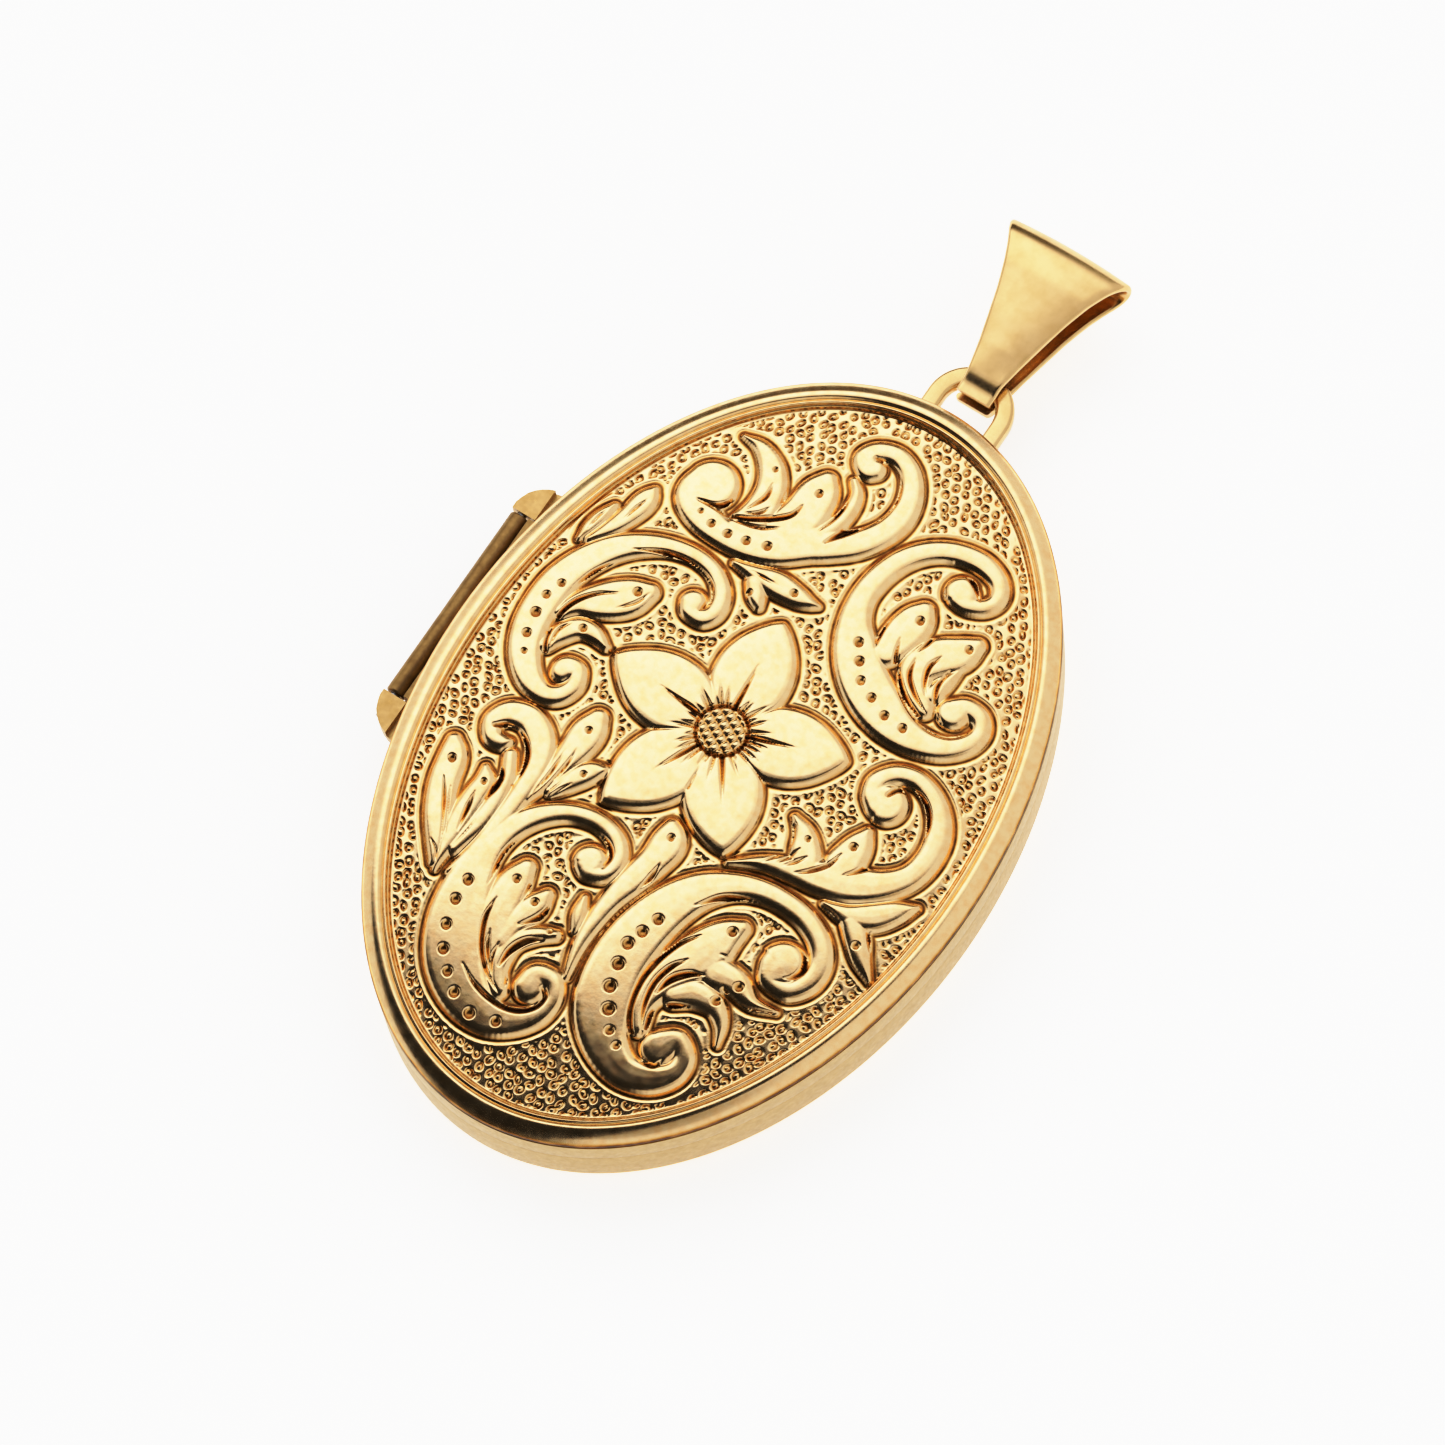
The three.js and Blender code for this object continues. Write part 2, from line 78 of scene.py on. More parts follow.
SCROLL_STROKES = [
    # upper left scroll: eye and long sweep, right arm with its curl, and three leaf lobes
    [(-6.8, 10.2, 1.15), (-7.0, 9.5, 1.0), (-6.3, 8.85, 0.75), (-5.2, 8.6, 0.62), (-4.0, 8.8, 0.72),
     (-2.9, 9.4, 0.9), (-1.9, 10.1, 0.85)],
    [(-2.2, 10.0, 0.9), (-1.1, 10.5, 0.72), (-0.1, 11.2, 0.62), (0.55, 12.1, 0.58), (0.87, 13.1, 0.56),
     (0.72, 14.2, 0.5), (0.1, 15.15, 0.44), (-0.8, 15.55, 0.42), (-1.6, 15.3, 0.44), (-1.9, 14.75, 0.5),
     (-1.55, 14.4, 0.5), (-1.3, 14.5, 0.45)],
    [(-6.9, 12.85, 0.06), (-6.0, 12.8, 0.3), (-5.1, 12.25, 0.52), (-4.55, 11.4, 0.62), (-4.4, 10.4, 0.7),
     (-4.5, 9.4, 0.8)],
    [(-2.75, 13.0, 0.4), (-2.7, 12.2, 0.85), (-2.7, 11.2, 0.95), (-2.9, 10.2, 1.0)],
    [(-1.75, 13.6, 0.16), (-1.3, 13.1, 0.24), (-1.15, 12.3, 0.3), (-1.3, 11.4, 0.34), (-1.8, 10.5, 0.4)],
    # leaf under it
    [(-4.0, 7.75, 0.12), (-3.0, 7.8, 0.34), (-2.0, 7.88, 0.55), (-1.0, 7.87, 0.46), (-0.35, 7.9, 0.26),
     (0.1, 7.98, 0.08)],
    [(-2.8, 7.45, 0.34), (-2.4, 7.0, 0.36), (-2.05, 6.62, 0.16)],
    # small leaves at the far left
    [(-8.8, 8.75, 0.16), (-8.85, 8.1, 0.5), (-9.05, 7.2, 0.45), (-9.4, 6.3, 0.34), (-9.9, 5.4, 0.16)],
    [(-9.85, 7.25, 0.14), (-10.05, 6.6, 0.3), (-10.22, 5.9, 0.28), (-10.3, 5.2, 0.1)],
    # left scroll
    [(-4.5, 5.3, 0.55), (-4.35, 4.95, 0.42), (-3.75, 4.95, 0.4), (-3.45, 5.5, 0.38), (-3.7, 6.3, 0.38),
     (-4.5, 6.93, 0.36), (-5.6, 7.12, 0.37), (-6.8, 6.88, 0.42), (-7.9, 6.3, 0.52), (-8.8, 5.5, 0.62),
     (-9.5, 4.4, 0.7), (-9.9, 3.2, 0.76), (-9.98, 2.0, 0.78), (-9.85, 0.8, 0.75), (-9.4, -0.3, 0.68),
     (-8.6, -1.15, 0.58), (-7.7, -1.48, 0.44), (-7.0, -1.2, 0.42), (-6.68, -0.5, 0.38), (-6.95, 0.1, 0.4),
     (-7.4, 0.0, 0.52), (-7.5, -0.25, 0.45)],
    [(-6.35, 4.7, 0.42), (-7.0, 4.0, 0.85), (-7.8, 3.35, 0.8), (-8.6, 2.7, 0.5), (-9.0, 2.0, 0.3)],
    [(-6.55, 1.65, 0.16), (-7.3, 1.88, 0.36), (-8.0, 1.75, 0.45), (-8.5, 1.1, 0.42), (-8.75, 0.4, 0.3)],
    # small scroll below it and its leaves
    [(-6.6, -10.2, 0.1), (-6.15, -8.6, 0.3), (-5.95, -7.0, 0.42), (-5.9, -5.6, 0.44), (-6.0, -4.4, 0.52),
     (-6.5, -3.35, 0.62), (-7.4, -2.78, 0.6), (-8.3, -2.95, 0.55), (-8.72, -3.6, 0.44), (-8.4, -4.2, 0.38),
     (-7.9, -4.25, 0.32), (-7.62, -4.05, 0.14)],
    [(-7.25, -4.5, 0.26), (-6.8, -5.4, 0.3), (-6.65, -6.5, 0.36), (-6.7, -7.8, 0.4), (-6.95, -9.2, 0.3)],
    [(-7.85, -5.5, 0.12), (-7.5, -6.1, 0.42), (-7.5, -7.0, 0.5), (-7.45, -8.2, 0.48), (-7.3, -9.4, 0.3),
     (-7.15, -10.4, 0.08)],
    [(-9.7, -5.2, 0.3), (-9.3, -5.9, 0.6), (-9.0, -7.0, 0.64), (-8.45, -8.2, 0.6), (-7.9, -9.2, 0.42),
     (-7.4, -10.2, 0.14)],
    # two leaves between the flower and the lower left scroll
    [(-5.0, -1.2, 0.42), (-5.0, -2.0, 0.72), (-5.05, -3.0, 0.62), (-5.2, -4.0, 0.46), (-5.4, -5.0, 0.28),
     (-5.5, -5.8, 0.1)],
    [(-3.5, -3.0, 0.2), (-4.0, -3.45, 0.48), (-4.45, -4.2, 0.42), (-4.85, -5.0, 0.2)],
    # upper right scroll
    [(4.9, 11.75, 0.7), (5.4, 11.45, 0.42), (6.1, 11.75, 0.36), (6.35, 12.4, 0.36), (5.9, 13.05, 0.4),
     (4.9, 13.35, 0.46), (3.7, 13.15, 0.46), (2.7, 12.55, 0.47), (1.95, 11.6, 0.5), (1.55, 10.4, 0.52),
     (1.5, 9.2, 0.55), (1.85, 8.1, 0.7), (2.6, 7.1, 0.95), (3.6, 6.2, 1.05), (4.8, 5.55, 1.02),
     (6.0, 5.15, 0.8), (7.1, 5.15, 0.62), (8.1, 5.48, 0.5), (8.8, 6.15, 0.44), (9.0, 6.9, 0.38),
     (8.6, 7.45, 0.4), (7.9, 7.5, 0.44), (7.55, 7.0, 0.66)],
    [(4.0, 10.2, 0.42), (3.95, 9.5, 0.8), (3.8, 8.6, 0.8), (3.7, 7.8, 0.6)],
    [(6.75, 10.1, 0.34), (6.3, 9.35, 0.75), (5.6, 8.7, 0.85), (5.2, 7.9, 0.75), (5.6, 7.1, 0.6),
     (6.4, 6.5, 0.4)],
    [(6.75, 8.75, 0.1), (6.55, 8.0, 0.3), (6.35, 7.2, 0.4)],
    # right scroll and its leaves
    [(7.4, 2.1, 0.88), (6.7, 2.2, 0.48), (6.55, 2.8, 0.44), (7.05, 3.45, 0.42), (7.9, 3.7, 0.4),
     (8.8, 3.45, 0.42), (9.55, 2.85, 0.48), (10.05, 2.0, 0.52), (10.2, 0.95, 0.52), (9.95, -0.1, 0.55),
     (9.2, -1.0, 0.65), (8.1, -1.65, 0.78), (6.9, -2.05, 0.74), (5.7, -2.4, 0.52), (4.4, -2.85, 0.3),
     (3.2, -3.6, 0.1)],
    [(7.4, 0.65, 0.2), (7.4, -0.2, 0.62), (7.35, -1.1, 0.8)],
    [(4.45, -0.4, 0.12), (5.2, -0.85, 0.42), (5.7, -1.5, 0.62), (6.1, -2.1, 0.6)],
    [(10.95, -1.0, 0.1), (10.3, -1.7, 0.48), (9.6, -2.4, 0.6), (8.7, -2.85, 0.42), (7.6, -2.95, 0.12)],
    [(11.0, -4.75, 0.08), (10.2, -4.15, 0.36), (9.6, -3.5, 0.5), (9.0, -3.0, 0.46)],
    # lower right scroll and its leaves
    [(7.6, -6.1, 0.95), (7.5, -6.95, 0.42), (8.4, -6.95, 0.42), (8.95, -6.2, 0.46), (8.95, -5.3, 0.46),
     (8.4, -4.5, 0.46), (7.4, -3.97, 0.45), (6.2, -3.8, 0.46), (5.0, -3.92, 0.5), (3.9, -4.4, 0.6),
     (2.9, -5.3, 0.8), (2.2, -6.6, 1.0), (1.8, -8.2, 1.15), (1.75, -9.9, 1.2), (2.2, -11.6, 1.2),
     (3.1, -12.85, 0.95), (4.4, -13.5, 0.72), (5.6, -13.25, 0.62), (6.35, -12.5, 0.5), (6.35, -11.7, 0.42),
     (5.7, -11.2, 0.42), (5.25, -11.9, 0.76)],
    [(5.3, -5.7, 0.34), (4.9, -6.4, 0.72), (4.6, -7.3, 1.0), (4.2, -8.3, 0.95), (3.7, -9.4, 0.8),
     (3.6, -10.6, 0.55), (4.0, -11.6, 0.4)],
    [(8.5, -8.0, 0.06), (7.4, -8.2, 0.28), (6.4, -7.85, 0.55), (5.5, -7.9, 0.7)],
    [(7.2, -10.5, 0.06), (6.85, -9.7, 0.24), (6.2, -9.15, 0.42), (5.2, -9.15, 0.6), (4.5, -9.7, 0.5)],
    # lower left scroll and its leaves
    [(-1.75, -6.65, 0.68), (-1.5, -7.05, 0.4), (-0.85, -6.75, 0.36), (-0.78, -5.95, 0.38),
     (-1.4, -5.25, 0.38), (-2.5, -5.02, 0.38), (-3.7, -5.35, 0.4), (-4.75, -6.2, 0.48),
     (-5.45, -7.4, 0.58), (-5.7, -8.8, 0.75), (-5.5, -10.3, 1.05), (-5.0, -11.8, 1.3),
     (-4.2, -13.2, 1.3), (-3.0, -14.2, 1.1), (-1.7, -14.6, 0.8), (-0.6, -14.25, 0.58),
     (0.15, -13.5, 0.44), (0.32, -12.6, 0.38), (-0.1, -11.9, 0.42), (-0.8, -12.0, 0.5),
     (-0.8, -12.6, 0.66)],
    [(-3.85, -8.3, 0.36), (-3.9, -9.2, 0.7), (-3.8, -10.3, 0.8), (-3.6, -11.3, 0.8), (-3.2, -12.3, 0.7)],
    [(-2.45, -8.85, 0.26), (-2.6, -9.6, 0.56), (-2.85, -10.4, 0.55), (-3.0, -11.5, 0.6)],
    [(-1.15, -10.15, 0.22), (-1.9, -10.6, 0.36), (-2.5, -11.4, 0.42), (-2.5, -12.6, 0.5),
     (-1.9, -13.4, 0.4)],
    # leaf and stem between the two lower scrolls
    [(0.3, -3.5, 0.28), (0.6, -4.2, 0.72), (0.55, -5.2, 0.66), (0.25, -6.4, 0.6), (0.0, -7.6, 0.46),
     (-0.1, -8.8, 0.38), (-0.05, -10.0, 0.28), (0.25, -11.4, 0.12)],
    [(-1.05, -8.1, 0.1), (-0.85, -8.8, 0.28), (-0.6, -9.5, 0.16)],
]

# V-shaped cuts: leaf veins, and the crevices between a leaf and the scroll that it grows from.
GROOVES = [
    [(-4.6, 11.6, 0.03), (-4.5, 10.9, 0.12), (-4.9, 10.05, 0.03)],
    [(-4.1, 10.6, 0.03), (-4.35, 10.15, 0.1), (-4.85, 9.85, 0.03)],
    [(-2.95, 11.45, 0.04), (-3.15, 10.75, 0.13), (-4.0, 10.05, 0.15), (-5.2, 9.45, 0.12),
     (-6.9, 9.3, 0.05)],
    [(-3.2, 10.05, 0.03), (-4.1, 9.55, 0.1), (-5.4, 9.25, 0.04)],
    [(-5.75, 11.4, 0.05), (-5.45, 10.7, 0.2), (-5.55, 10.0, 0.2), (-6.1, 9.5, 0.14), (-7.0, 9.32, 0.03)],
    [(-4.1, 12.2, 0.1), (-3.85, 11.9, 0.2), (-3.8, 11.0, 0.05)],
    [(-2.05, 13.2, 0.1), (-1.55, 12.5, 0.16), (-1.5, 11.7, 0.12), (-1.75, 10.8, 0.03)],
    [(-0.55, 14.35, 0.1), (-0.35, 13.5, 0.28), (-0.4, 12.5, 0.32), (-0.65, 11.6, 0.26),
     (-1.25, 10.5, 0.05)],
    [(-1.55, 14.95, 0.07), (-0.85, 14.95, 0.16), (-0.15, 14.5, 0.2), (0.2, 13.7, 0.2), (0.1, 12.6, 0.12)],
    [(-3.2, 7.8, 0.02), (-2.5, 7.8, 0.07), (-1.8, 7.83, 0.02)],
    [(-8.75, 8.2, 0.02), (-8.95, 7.6, 0.08), (-9.1, 6.9, 0.02)],
    [(-9.98, 6.9, 0.02), (-10.12, 6.4, 0.07), (-10.2, 5.7, 0.02)],
    [(-4.05, 5.15, 0.06), (-3.95, 5.75, 0.15), (-4.4, 6.35, 0.18), (-5.5, 6.66, 0.17), (-6.7, 6.55, 0.13),
     (-8.0, 5.95, 0.03)],
    [(-5.55, 5.85, 0.04), (-6.4, 5.92, 0.13), (-7.3, 5.65, 0.17), (-8.1, 5.1, 0.17), (-8.8, 4.2, 0.14),
     (-9.2, 3.2, 0.03)],
    [(-7.4, 3.95, 0.03), (-8.2, 3.4, 0.1), (-8.8, 2.6, 0.15), (-9.02, 1.6, 0.15), (-8.85, 0.6, 0.12),
     (-8.3, -0.35, 0.14), (-7.8, -0.75, 0.14), (-7.25, -0.72, 0.05)],
    [(-6.25, 4.65, 0.02), (-6.5, 4.0, 0.08), (-7.1, 3.3, 0.02)],
    [(-8.35, 1.8, 0.03), (-8.65, 1.2, 0.1), (-8.55, 0.4, 0.04)],
    [(-8.55, -3.78, 0.1), (-8.0, -3.5, 0.17), (-7.2, -3.62, 0.16), (-6.6, -4.2, 0.17), (-6.4, -5.0, 0.13),
     (-6.42, -5.75, 0.03)],
    [(-7.75, -5.1, 0.06), (-7.15, -5.35, 0.18), (-6.95, -6.0, 0.18), (-7.05, -6.8, 0.04)],
    [(-8.15, -5.35, 0.2), (-8.15, -6.1, 0.2), (-8.2, -6.9, 0.05)],
    [(-9.1, -6.8, 0.03), (-8.5, -7.65, 0.1), (-7.9, -8.7, 0.05), (-7.4, -9.7, 0.02)],
    [(-7.58, -6.65, 0.02), (-7.42, -7.5, 0.13), (-7.25, -8.5, 0.03)],
    [(-8.6, -7.0, 0.02), (-8.15, -7.9, 0.06), (-7.6, -8.9, 0.02)],
    [(-8.0, -9.4, 0.02), (-7.6, -9.65, 0.06), (-7.25, -10.1, 0.02)],
    [(-6.85, -7.4, 0.02), (-6.9, -8.4, 0.05), (-7.05, -9.4, 0.02)],
    [(-5.35, -3.1, 0.02), (-5.32, -4.3, 0.09), (-5.45, -5.5, 0.03)],
    [(-4.95, -2.8, 0.02), (-4.95, -3.8, 0.09), (-5.15, -5.1, 0.02)],
    [(-4.62, -4.1, 0.02), (-4.9, -4.95, 0.07), (-5.1, -5.6, 0.02)],
    [(-4.28, -4.2, 0.02), (-4.6, -4.8, 0.06), (-4.85, -5.3, 0.02)],
    [(3.95, 12.65, 0.12), (4.6, 12.6, 0.17), (5.2, 12.3, 0.15), (5.75, 11.85, 0.05)],
    [(4.15, 12.3, 0.16), (4.1, 11.6, 0.12), (4.5, 11.1, 0.06)],
    [(2.95, 9.4, 0.1), (3.0, 8.4, 0.13), (3.15, 7.7, 0.03)],
    [(4.9, 9.8, 0.12), (4.95, 9.1, 0.14), (4.8, 8.5, 0.04)],
    [(3.85, 8.6, 0.03), (4.15, 7.8, 0.12), (4.9, 6.9, 0.17), (5.9, 6.2, 0.17), (7.0, 5.88, 0.16),
     (7.9, 6.02, 0.15), (8.4, 6.45, 0.12), (8.5, 6.8, 0.04)],
    [(5.8, 8.85, 0.03), (5.6, 8.2, 0.13), (5.8, 7.5, 0.11), (6.15, 7.0, 0.03)],
    [(4.9, 8.2, 0.03), (5.1, 7.4, 0.13), (5.75, 6.8, 0.11), (6.6, 6.35, 0.03)],
    [(6.45, 8.5, 0.05), (6.35, 7.7, 0.13), (6.65, 7.0, 0.1), (7.2, 6.35, 0.12), (7.9, 6.15, 0.06)],
    [(7.25, 2.45, 0.1), (7.55, 2.98, 0.17), (8.2, 3.15, 0.18), (8.85, 2.9, 0.18), (9.35, 2.3, 0.16),
     (9.55, 1.5, 0.08)],
    [(6.3, 0.5, 0.15), (6.35, -0.4, 0.1), (6.25, -1.2, 0.03)],
    [(7.95, 0.6, 0.12), (8.3, 0.0, 0.17), (8.2, -0.8, 0.14), (7.6, -1.55, 0.03)],
    [(4.65, -0.75, 0.1), (4.9, -1.5, 0.16), (4.72, -2.3, 0.1), (4.4, -2.85, 0.02)],
    [(5.45, -1.5, 0.03), (5.2, -2.1, 0.1), (4.95, -2.55, 0.02)],
    [(5.9, -1.65, 0.03), (5.6, -2.1, 0.09), (5.25, -2.5, 0.02)],
    [(7.05, -0.75, 0.03), (6.85, -1.45, 0.11), (6.35, -2.1, 0.1), (5.8, -2.55, 0.02)],
    [(9.9, -3.05, 0.15), (10.2, -3.4, 0.15), (10.6, -3.9, 0.05)],
    [(7.3, -3.02, 0.03), (8.2, -3.15, 0.07), (8.9, -3.4, 0.02)],
    [(3.1, -5.95, 0.03), (3.9, -5.05, 0.16), (5.0, -4.6, 0.2), (6.2, -4.5, 0.2), (7.3, -4.7, 0.2),
     (8.1, -5.15, 0.19), (8.45, -5.8, 0.17), (8.3, -6.35, 0.1), (8.0, -6.6, 0.03)],
    [(6.9, -5.3, 0.12), (6.45, -5.8, 0.2), (6.4, -6.6, 0.2), (6.3, -7.0, 0.1), (5.2, -7.15, 0.03)],
    [(6.1, -8.35, 0.08), (7.0, -8.6, 0.12), (8.0, -8.35, 0.1), (8.55, -8.0, 0.03)],
    [(5.1, -8.3, 0.05), (4.55, -8.6, 0.16), (4.05, -9.2, 0.18), (3.85, -10.0, 0.05)],
    [(4.15, -8.1, 0.03), (3.75, -8.75, 0.14), (3.55, -9.7, 0.15), (3.75, -10.8, 0.12), (4.3, -11.8, 0.04)],
    [(4.05, -6.9, 0.03), (3.4, -7.8, 0.17), (3.1, -8.9, 0.17), (3.05, -10.0, 0.15), (3.35, -11.2, 0.13),
     (4.1, -12.2, 0.13), (4.9, -12.7, 0.14), (5.5, -12.7, 0.12), (5.65, -12.3, 0.04)],
    [(7.1, -10.9, 0.06), (6.6, -10.2, 0.14), (5.7, -9.9, 0.18), (4.8, -10.1, 0.2), (4.25, -10.8, 0.2),
     (4.3, -11.5, 0.12)],
    [(-1.1, -6.65, 0.05), (-1.1, -6.05, 0.14), (-1.6, -5.65, 0.17), (-2.5, -5.6, 0.17), (-3.5, -6.0, 0.18),
     (-4.4, -6.9, 0.18), (-4.9, -7.9, 0.15), (-4.95, -8.8, 0.12), (-4.8, -9.8, 0.03)],
    [(-3.25, -8.9, 0.12), (-3.2, -9.6, 0.03)],
    [(-1.95, -9.1, 0.14), (-2.1, -9.8, 0.17), (-2.7, -10.6, 0.04)],
    [(-1.45, -10.6, 0.05), (-2.0, -11.0, 0.17), (-2.35, -11.7, 0.17), (-2.4, -12.5, 0.06)],
    [(0.0, -11.15, 0.06), (-0.8, -11.15, 0.16), (-1.5, -11.55, 0.18), (-1.85, -12.3, 0.15),
     (-1.7, -13.2, 0.05)],
    [(-4.15, -10.1, 0.02), (-4.05, -11.1, 0.13), (-3.5, -12.2, 0.13), (-2.7, -13.0, 0.1),
     (-1.7, -13.55, 0.03)],
    [(-3.6, -11.4, 0.02), (-3.2, -12.2, 0.11), (-2.4, -13.1, 0.03)],
    [(-2.95, -11.7, 0.02), (-2.8, -12.5, 0.1), (-2.2, -13.3, 0.03)],
    [(-3.75, -13.25, 0.02), (-2.8, -13.75, 0.1), (-1.7, -13.95, 0.13), (-0.7, -13.75, 0.16),
     (-0.1, -13.2, 0.15), (0.0, -12.6, 0.12), (-0.35, -12.35, 0.06)],
    [(0.85, -5.15, 0.02), (0.85, -5.9, 0.13), (0.7, -6.6, 0.03)],
]

DOTS = [  # punched hollows: (x, y, radius)
    (-6.5, 8.92, 0.14), (-5.8, 8.68, 0.2), (-4.95, 8.65, 0.22), (-4.1, 8.8, 0.22), (-3.2, 9.07, 0.23),
    (-2.65, 12.25, 0.2), (-4.85, 12.2, 0.14), (-1.05, 7.9, 0.2), (-2.7, 6.92, 0.17),
    (-9.72, 3.05, 0.2), (-9.98, 2.28, 0.21), (-9.92, 1.38, 0.26), (-9.72, 0.4, 0.23), (-9.35, -0.35, 0.15),
    (-6.72, 4.42, 0.23), (-7.78, 1.82, 0.2), (-9.25, -5.95, 0.22), (-7.5, -6.12, 0.16),
    (-5.0, -1.88, 0.17), (-4.1, -3.62, 0.16), (4.15, 9.7, 0.22), (6.6, 9.72, 0.2),
    (2.48, 7.5, 0.24), (2.98, 6.8, 0.24),
    (3.5, 6.1, 0.22), (4.3, 5.7, 0.22), (5.2, 5.32, 0.22), (6.15, 5.25, 0.22), (7.3, -0.25, 0.2),
    (5.5, -0.98, 0.15), (9.72, -3.8, 0.2), (5.08, -6.08, 0.24), (6.62, -7.95, 0.24), (6.15, -8.95, 0.24),
    (2.15, -7.3, 0.27), (1.88, -8.1, 0.28), (1.65, -8.85, 0.3), (1.8, -9.8, 0.32), (2.05, -10.8, 0.33),
    (2.55, -11.65, 0.33), (3.1, -12.4, 0.24), (3.7, -12.8, 0.2), (-5.6, -10.1, 0.27),
    (-5.58, -11.08, 0.27),
    (-5.3, -12.2, 0.27), (-4.8, -13.15, 0.28), (-4.1, -13.88, 0.26), (-3.35, -14.48, 0.28),
    (-2.3, -14.9, 0.3), (-1.15, -14.62, 0.26), (-3.88, -8.98, 0.2), (-2.68, -9.42, 0.2),
    (-1.42, -10.15, 0.14), (0.6, -4.0, 0.18),
]

FLOWER_CENTRE = (-0.25, 1.12)
FLOWER_DISC = 1.05  # radius of the disc in its middle
PETALS = [(95, 5.45), (18, 5.5), (-56, 5.45), (-116, 5.85), (175, 5.75)]  # (angle in degrees, length)
PETAL_SHAPE = [  # (share of the length, half width)
    (0.16, 0.7), (0.29, 1.2), (0.41, 1.6), (0.51, 1.68), (0.61, 1.54), (0.73, 1.17), (0.86, 0.68),
    (0.95, 0.28), (1.0, 0.02),
]
VEIN_END, VEIN_HALF_WIDTH = 3.4, 0.15
FAN_CUTS, FAN_HALF_WIDTH = 35, 0.1
FAN_CLEAR = 7  # no cut of the fan lies closer to a vein than this, in degrees
CREASES = [56, -19, -86, -150, 135]  # angles of the creases between neighbouring petals
CREASE_SHAPE = [(1.5, 0.01), (2.3, 0.05), (2.9, 0.08)]  # (distance from the centre, half width)


def from_flower(angle, radius):
    """The place at an angle in degrees and a distance from the flower's centre."""
    a = math.radians(angle)
    return FLOWER_CENTRE[0] + radius * math.cos(a), FLOWER_CENTRE[1] + radius * math.sin(a)


def petal_strokes():
    """One broad stroke for each petal."""
    return [[(*from_flower(angle, share * length), half) for share, half in PETAL_SHAPE]
            for angle, length in PETALS]


def petal_cuts():
    """The vein of each petal, the short cuts that fan out from the disc, and the creases."""
    cuts = [ray_cut(angle, VEIN_END, VEIN_HALF_WIDTH) for angle, _ in PETALS]
    for k in range(FAN_CUTS):
        angle = 360 / FAN_CUTS * k + 3 * math.sin(3.7 * k)
        if min(abs((angle - vein + 180) % 360 - 180) for vein, _ in PETALS) > FAN_CLEAR:
            cuts.append(ray_cut(angle, 2.0 + 0.4 * math.sin(2.3 * k), FAN_HALF_WIDTH))
    for angle in CREASES:
        cuts.append([(*from_flower(angle, radius), half) for radius, half in CREASE_SHAPE])
    return cuts


def ray_cut(angle, end, half):
    """A cut that runs outwards from the disc and thins to a point."""
    start = FLOWER_DISC + 0.1
    places = ((start, half), (0.6 * start + 0.4 * end, 0.75 * half), (end, 0.01))
    return [(*from_flower(angle, radius), width) for radius, width in places]


# ---- relief of the front plate


def smooth_line(points, per_span=6):
    """Catmull-Rom line through the rows of points."""
    p = np.array(points, float)
    p = np.vstack([2 * p[0] - p[1], p, 2 * p[-1] - p[-2]])
    t = np.linspace(0, 1, per_span, endpoint=False)[:, None]
    spans = []
    for a, b, c, d in zip(p[:-3], p[1:-2], p[2:-1], p[3:]):
        spans.append(0.5 * (2 * b + (c - a) * t + (2 * a - 5 * b + 4 * c - d) * t**2
                            + (3 * b - a - 3 * c + d) * t**3))
    return np.vstack([*spans, p[-2:-1]])


FAR = 3.0  # stands for every distance that needs no working out


def stroke_distance(x, y, stroke):
    """Distance from each place to a stroke's edge, negative inside it and FAR away from it."""
    line = smooth_line(stroke)
    line[:, 2] = np.maximum(line[:, 2], 0.01)
    reach = line[:, 2].max() + 1.0
    near = np.flatnonzero(
        (x > line[:, 0].min() - reach) & (x < line[:, 0].max() + reach)
        & (y > line[:, 1].min() - reach) & (y < line[:, 1].max() + reach)
    )
    px, py = x[near], y[near]
    best = np.full(len(near), FAR)
    for (ax, ay, aw), (bx, by, bw) in zip(line[:-1], line[1:]):
        dx, dy = bx - ax, by - ay
        t = np.clip(((px - ax) * dx + (py - ay) * dy) / max(dx * dx + dy * dy, 1e-9), 0, 1)
        gap = np.hypot(px - ax - t * dx, py - ay - t * dy) - (aw + t * (bw - aw))
        best = np.minimum(best, gap)
    distance = np.full(len(x), FAR)
    distance[near] = best
    return distance


def union_distance(x, y, strokes):
    """Distance from each place to the nearest of the strokes."""
    distance = np.full(len(x), FAR)
    for stroke in strokes:
        distance = np.minimum(distance, stroke_distance(x, y, stroke))
    return distance


WALL = 0.2  # width of the slope that runs round every raised form
LIP = 0.17  # from the foot of the slope to the top of the fine ridge that follows it
# Sections of the raised forms: (distance outwards from the edge, height over the ground).
FOOT_SECTION = [(0.06, 0.11), (0.17, -0.05), (0.21, -0.07), (0.25, -0.05), (0.31, 0.015), (0.38, 0.03),
                (0.48, 0.015), (0.62, 0.0)]
SCROLL_SECTION = [(-0.8, 0.295), (-0.3, 0.285), (-0.17, 0.268), (-0.08, 0.228), (0.0, 0.165)]
PETAL_SECTION = [(-0.8, 0.30), (-0.32, 0.285), (-0.12, 0.255), (0.0, 0.175)]


def raised(distance, section):
    """Height by the distance to a form's edge: its top, slope, channel at the foot and outer ridge."""
    line = np.array(section + FOOT_SECTION)
    return np.interp(distance, line[:, 0], line[:, 1])


STIPPLE_PITCH = 0.52
STIPPLE_ROW = STIPPLE_PITCH * 0.87
STIPPLE_CELLS = 90  # the lattice has more cells each way than the field needs, so none is used twice
PUNCH_EDGE = 0.042  # breadth of the ring that a punch leaves


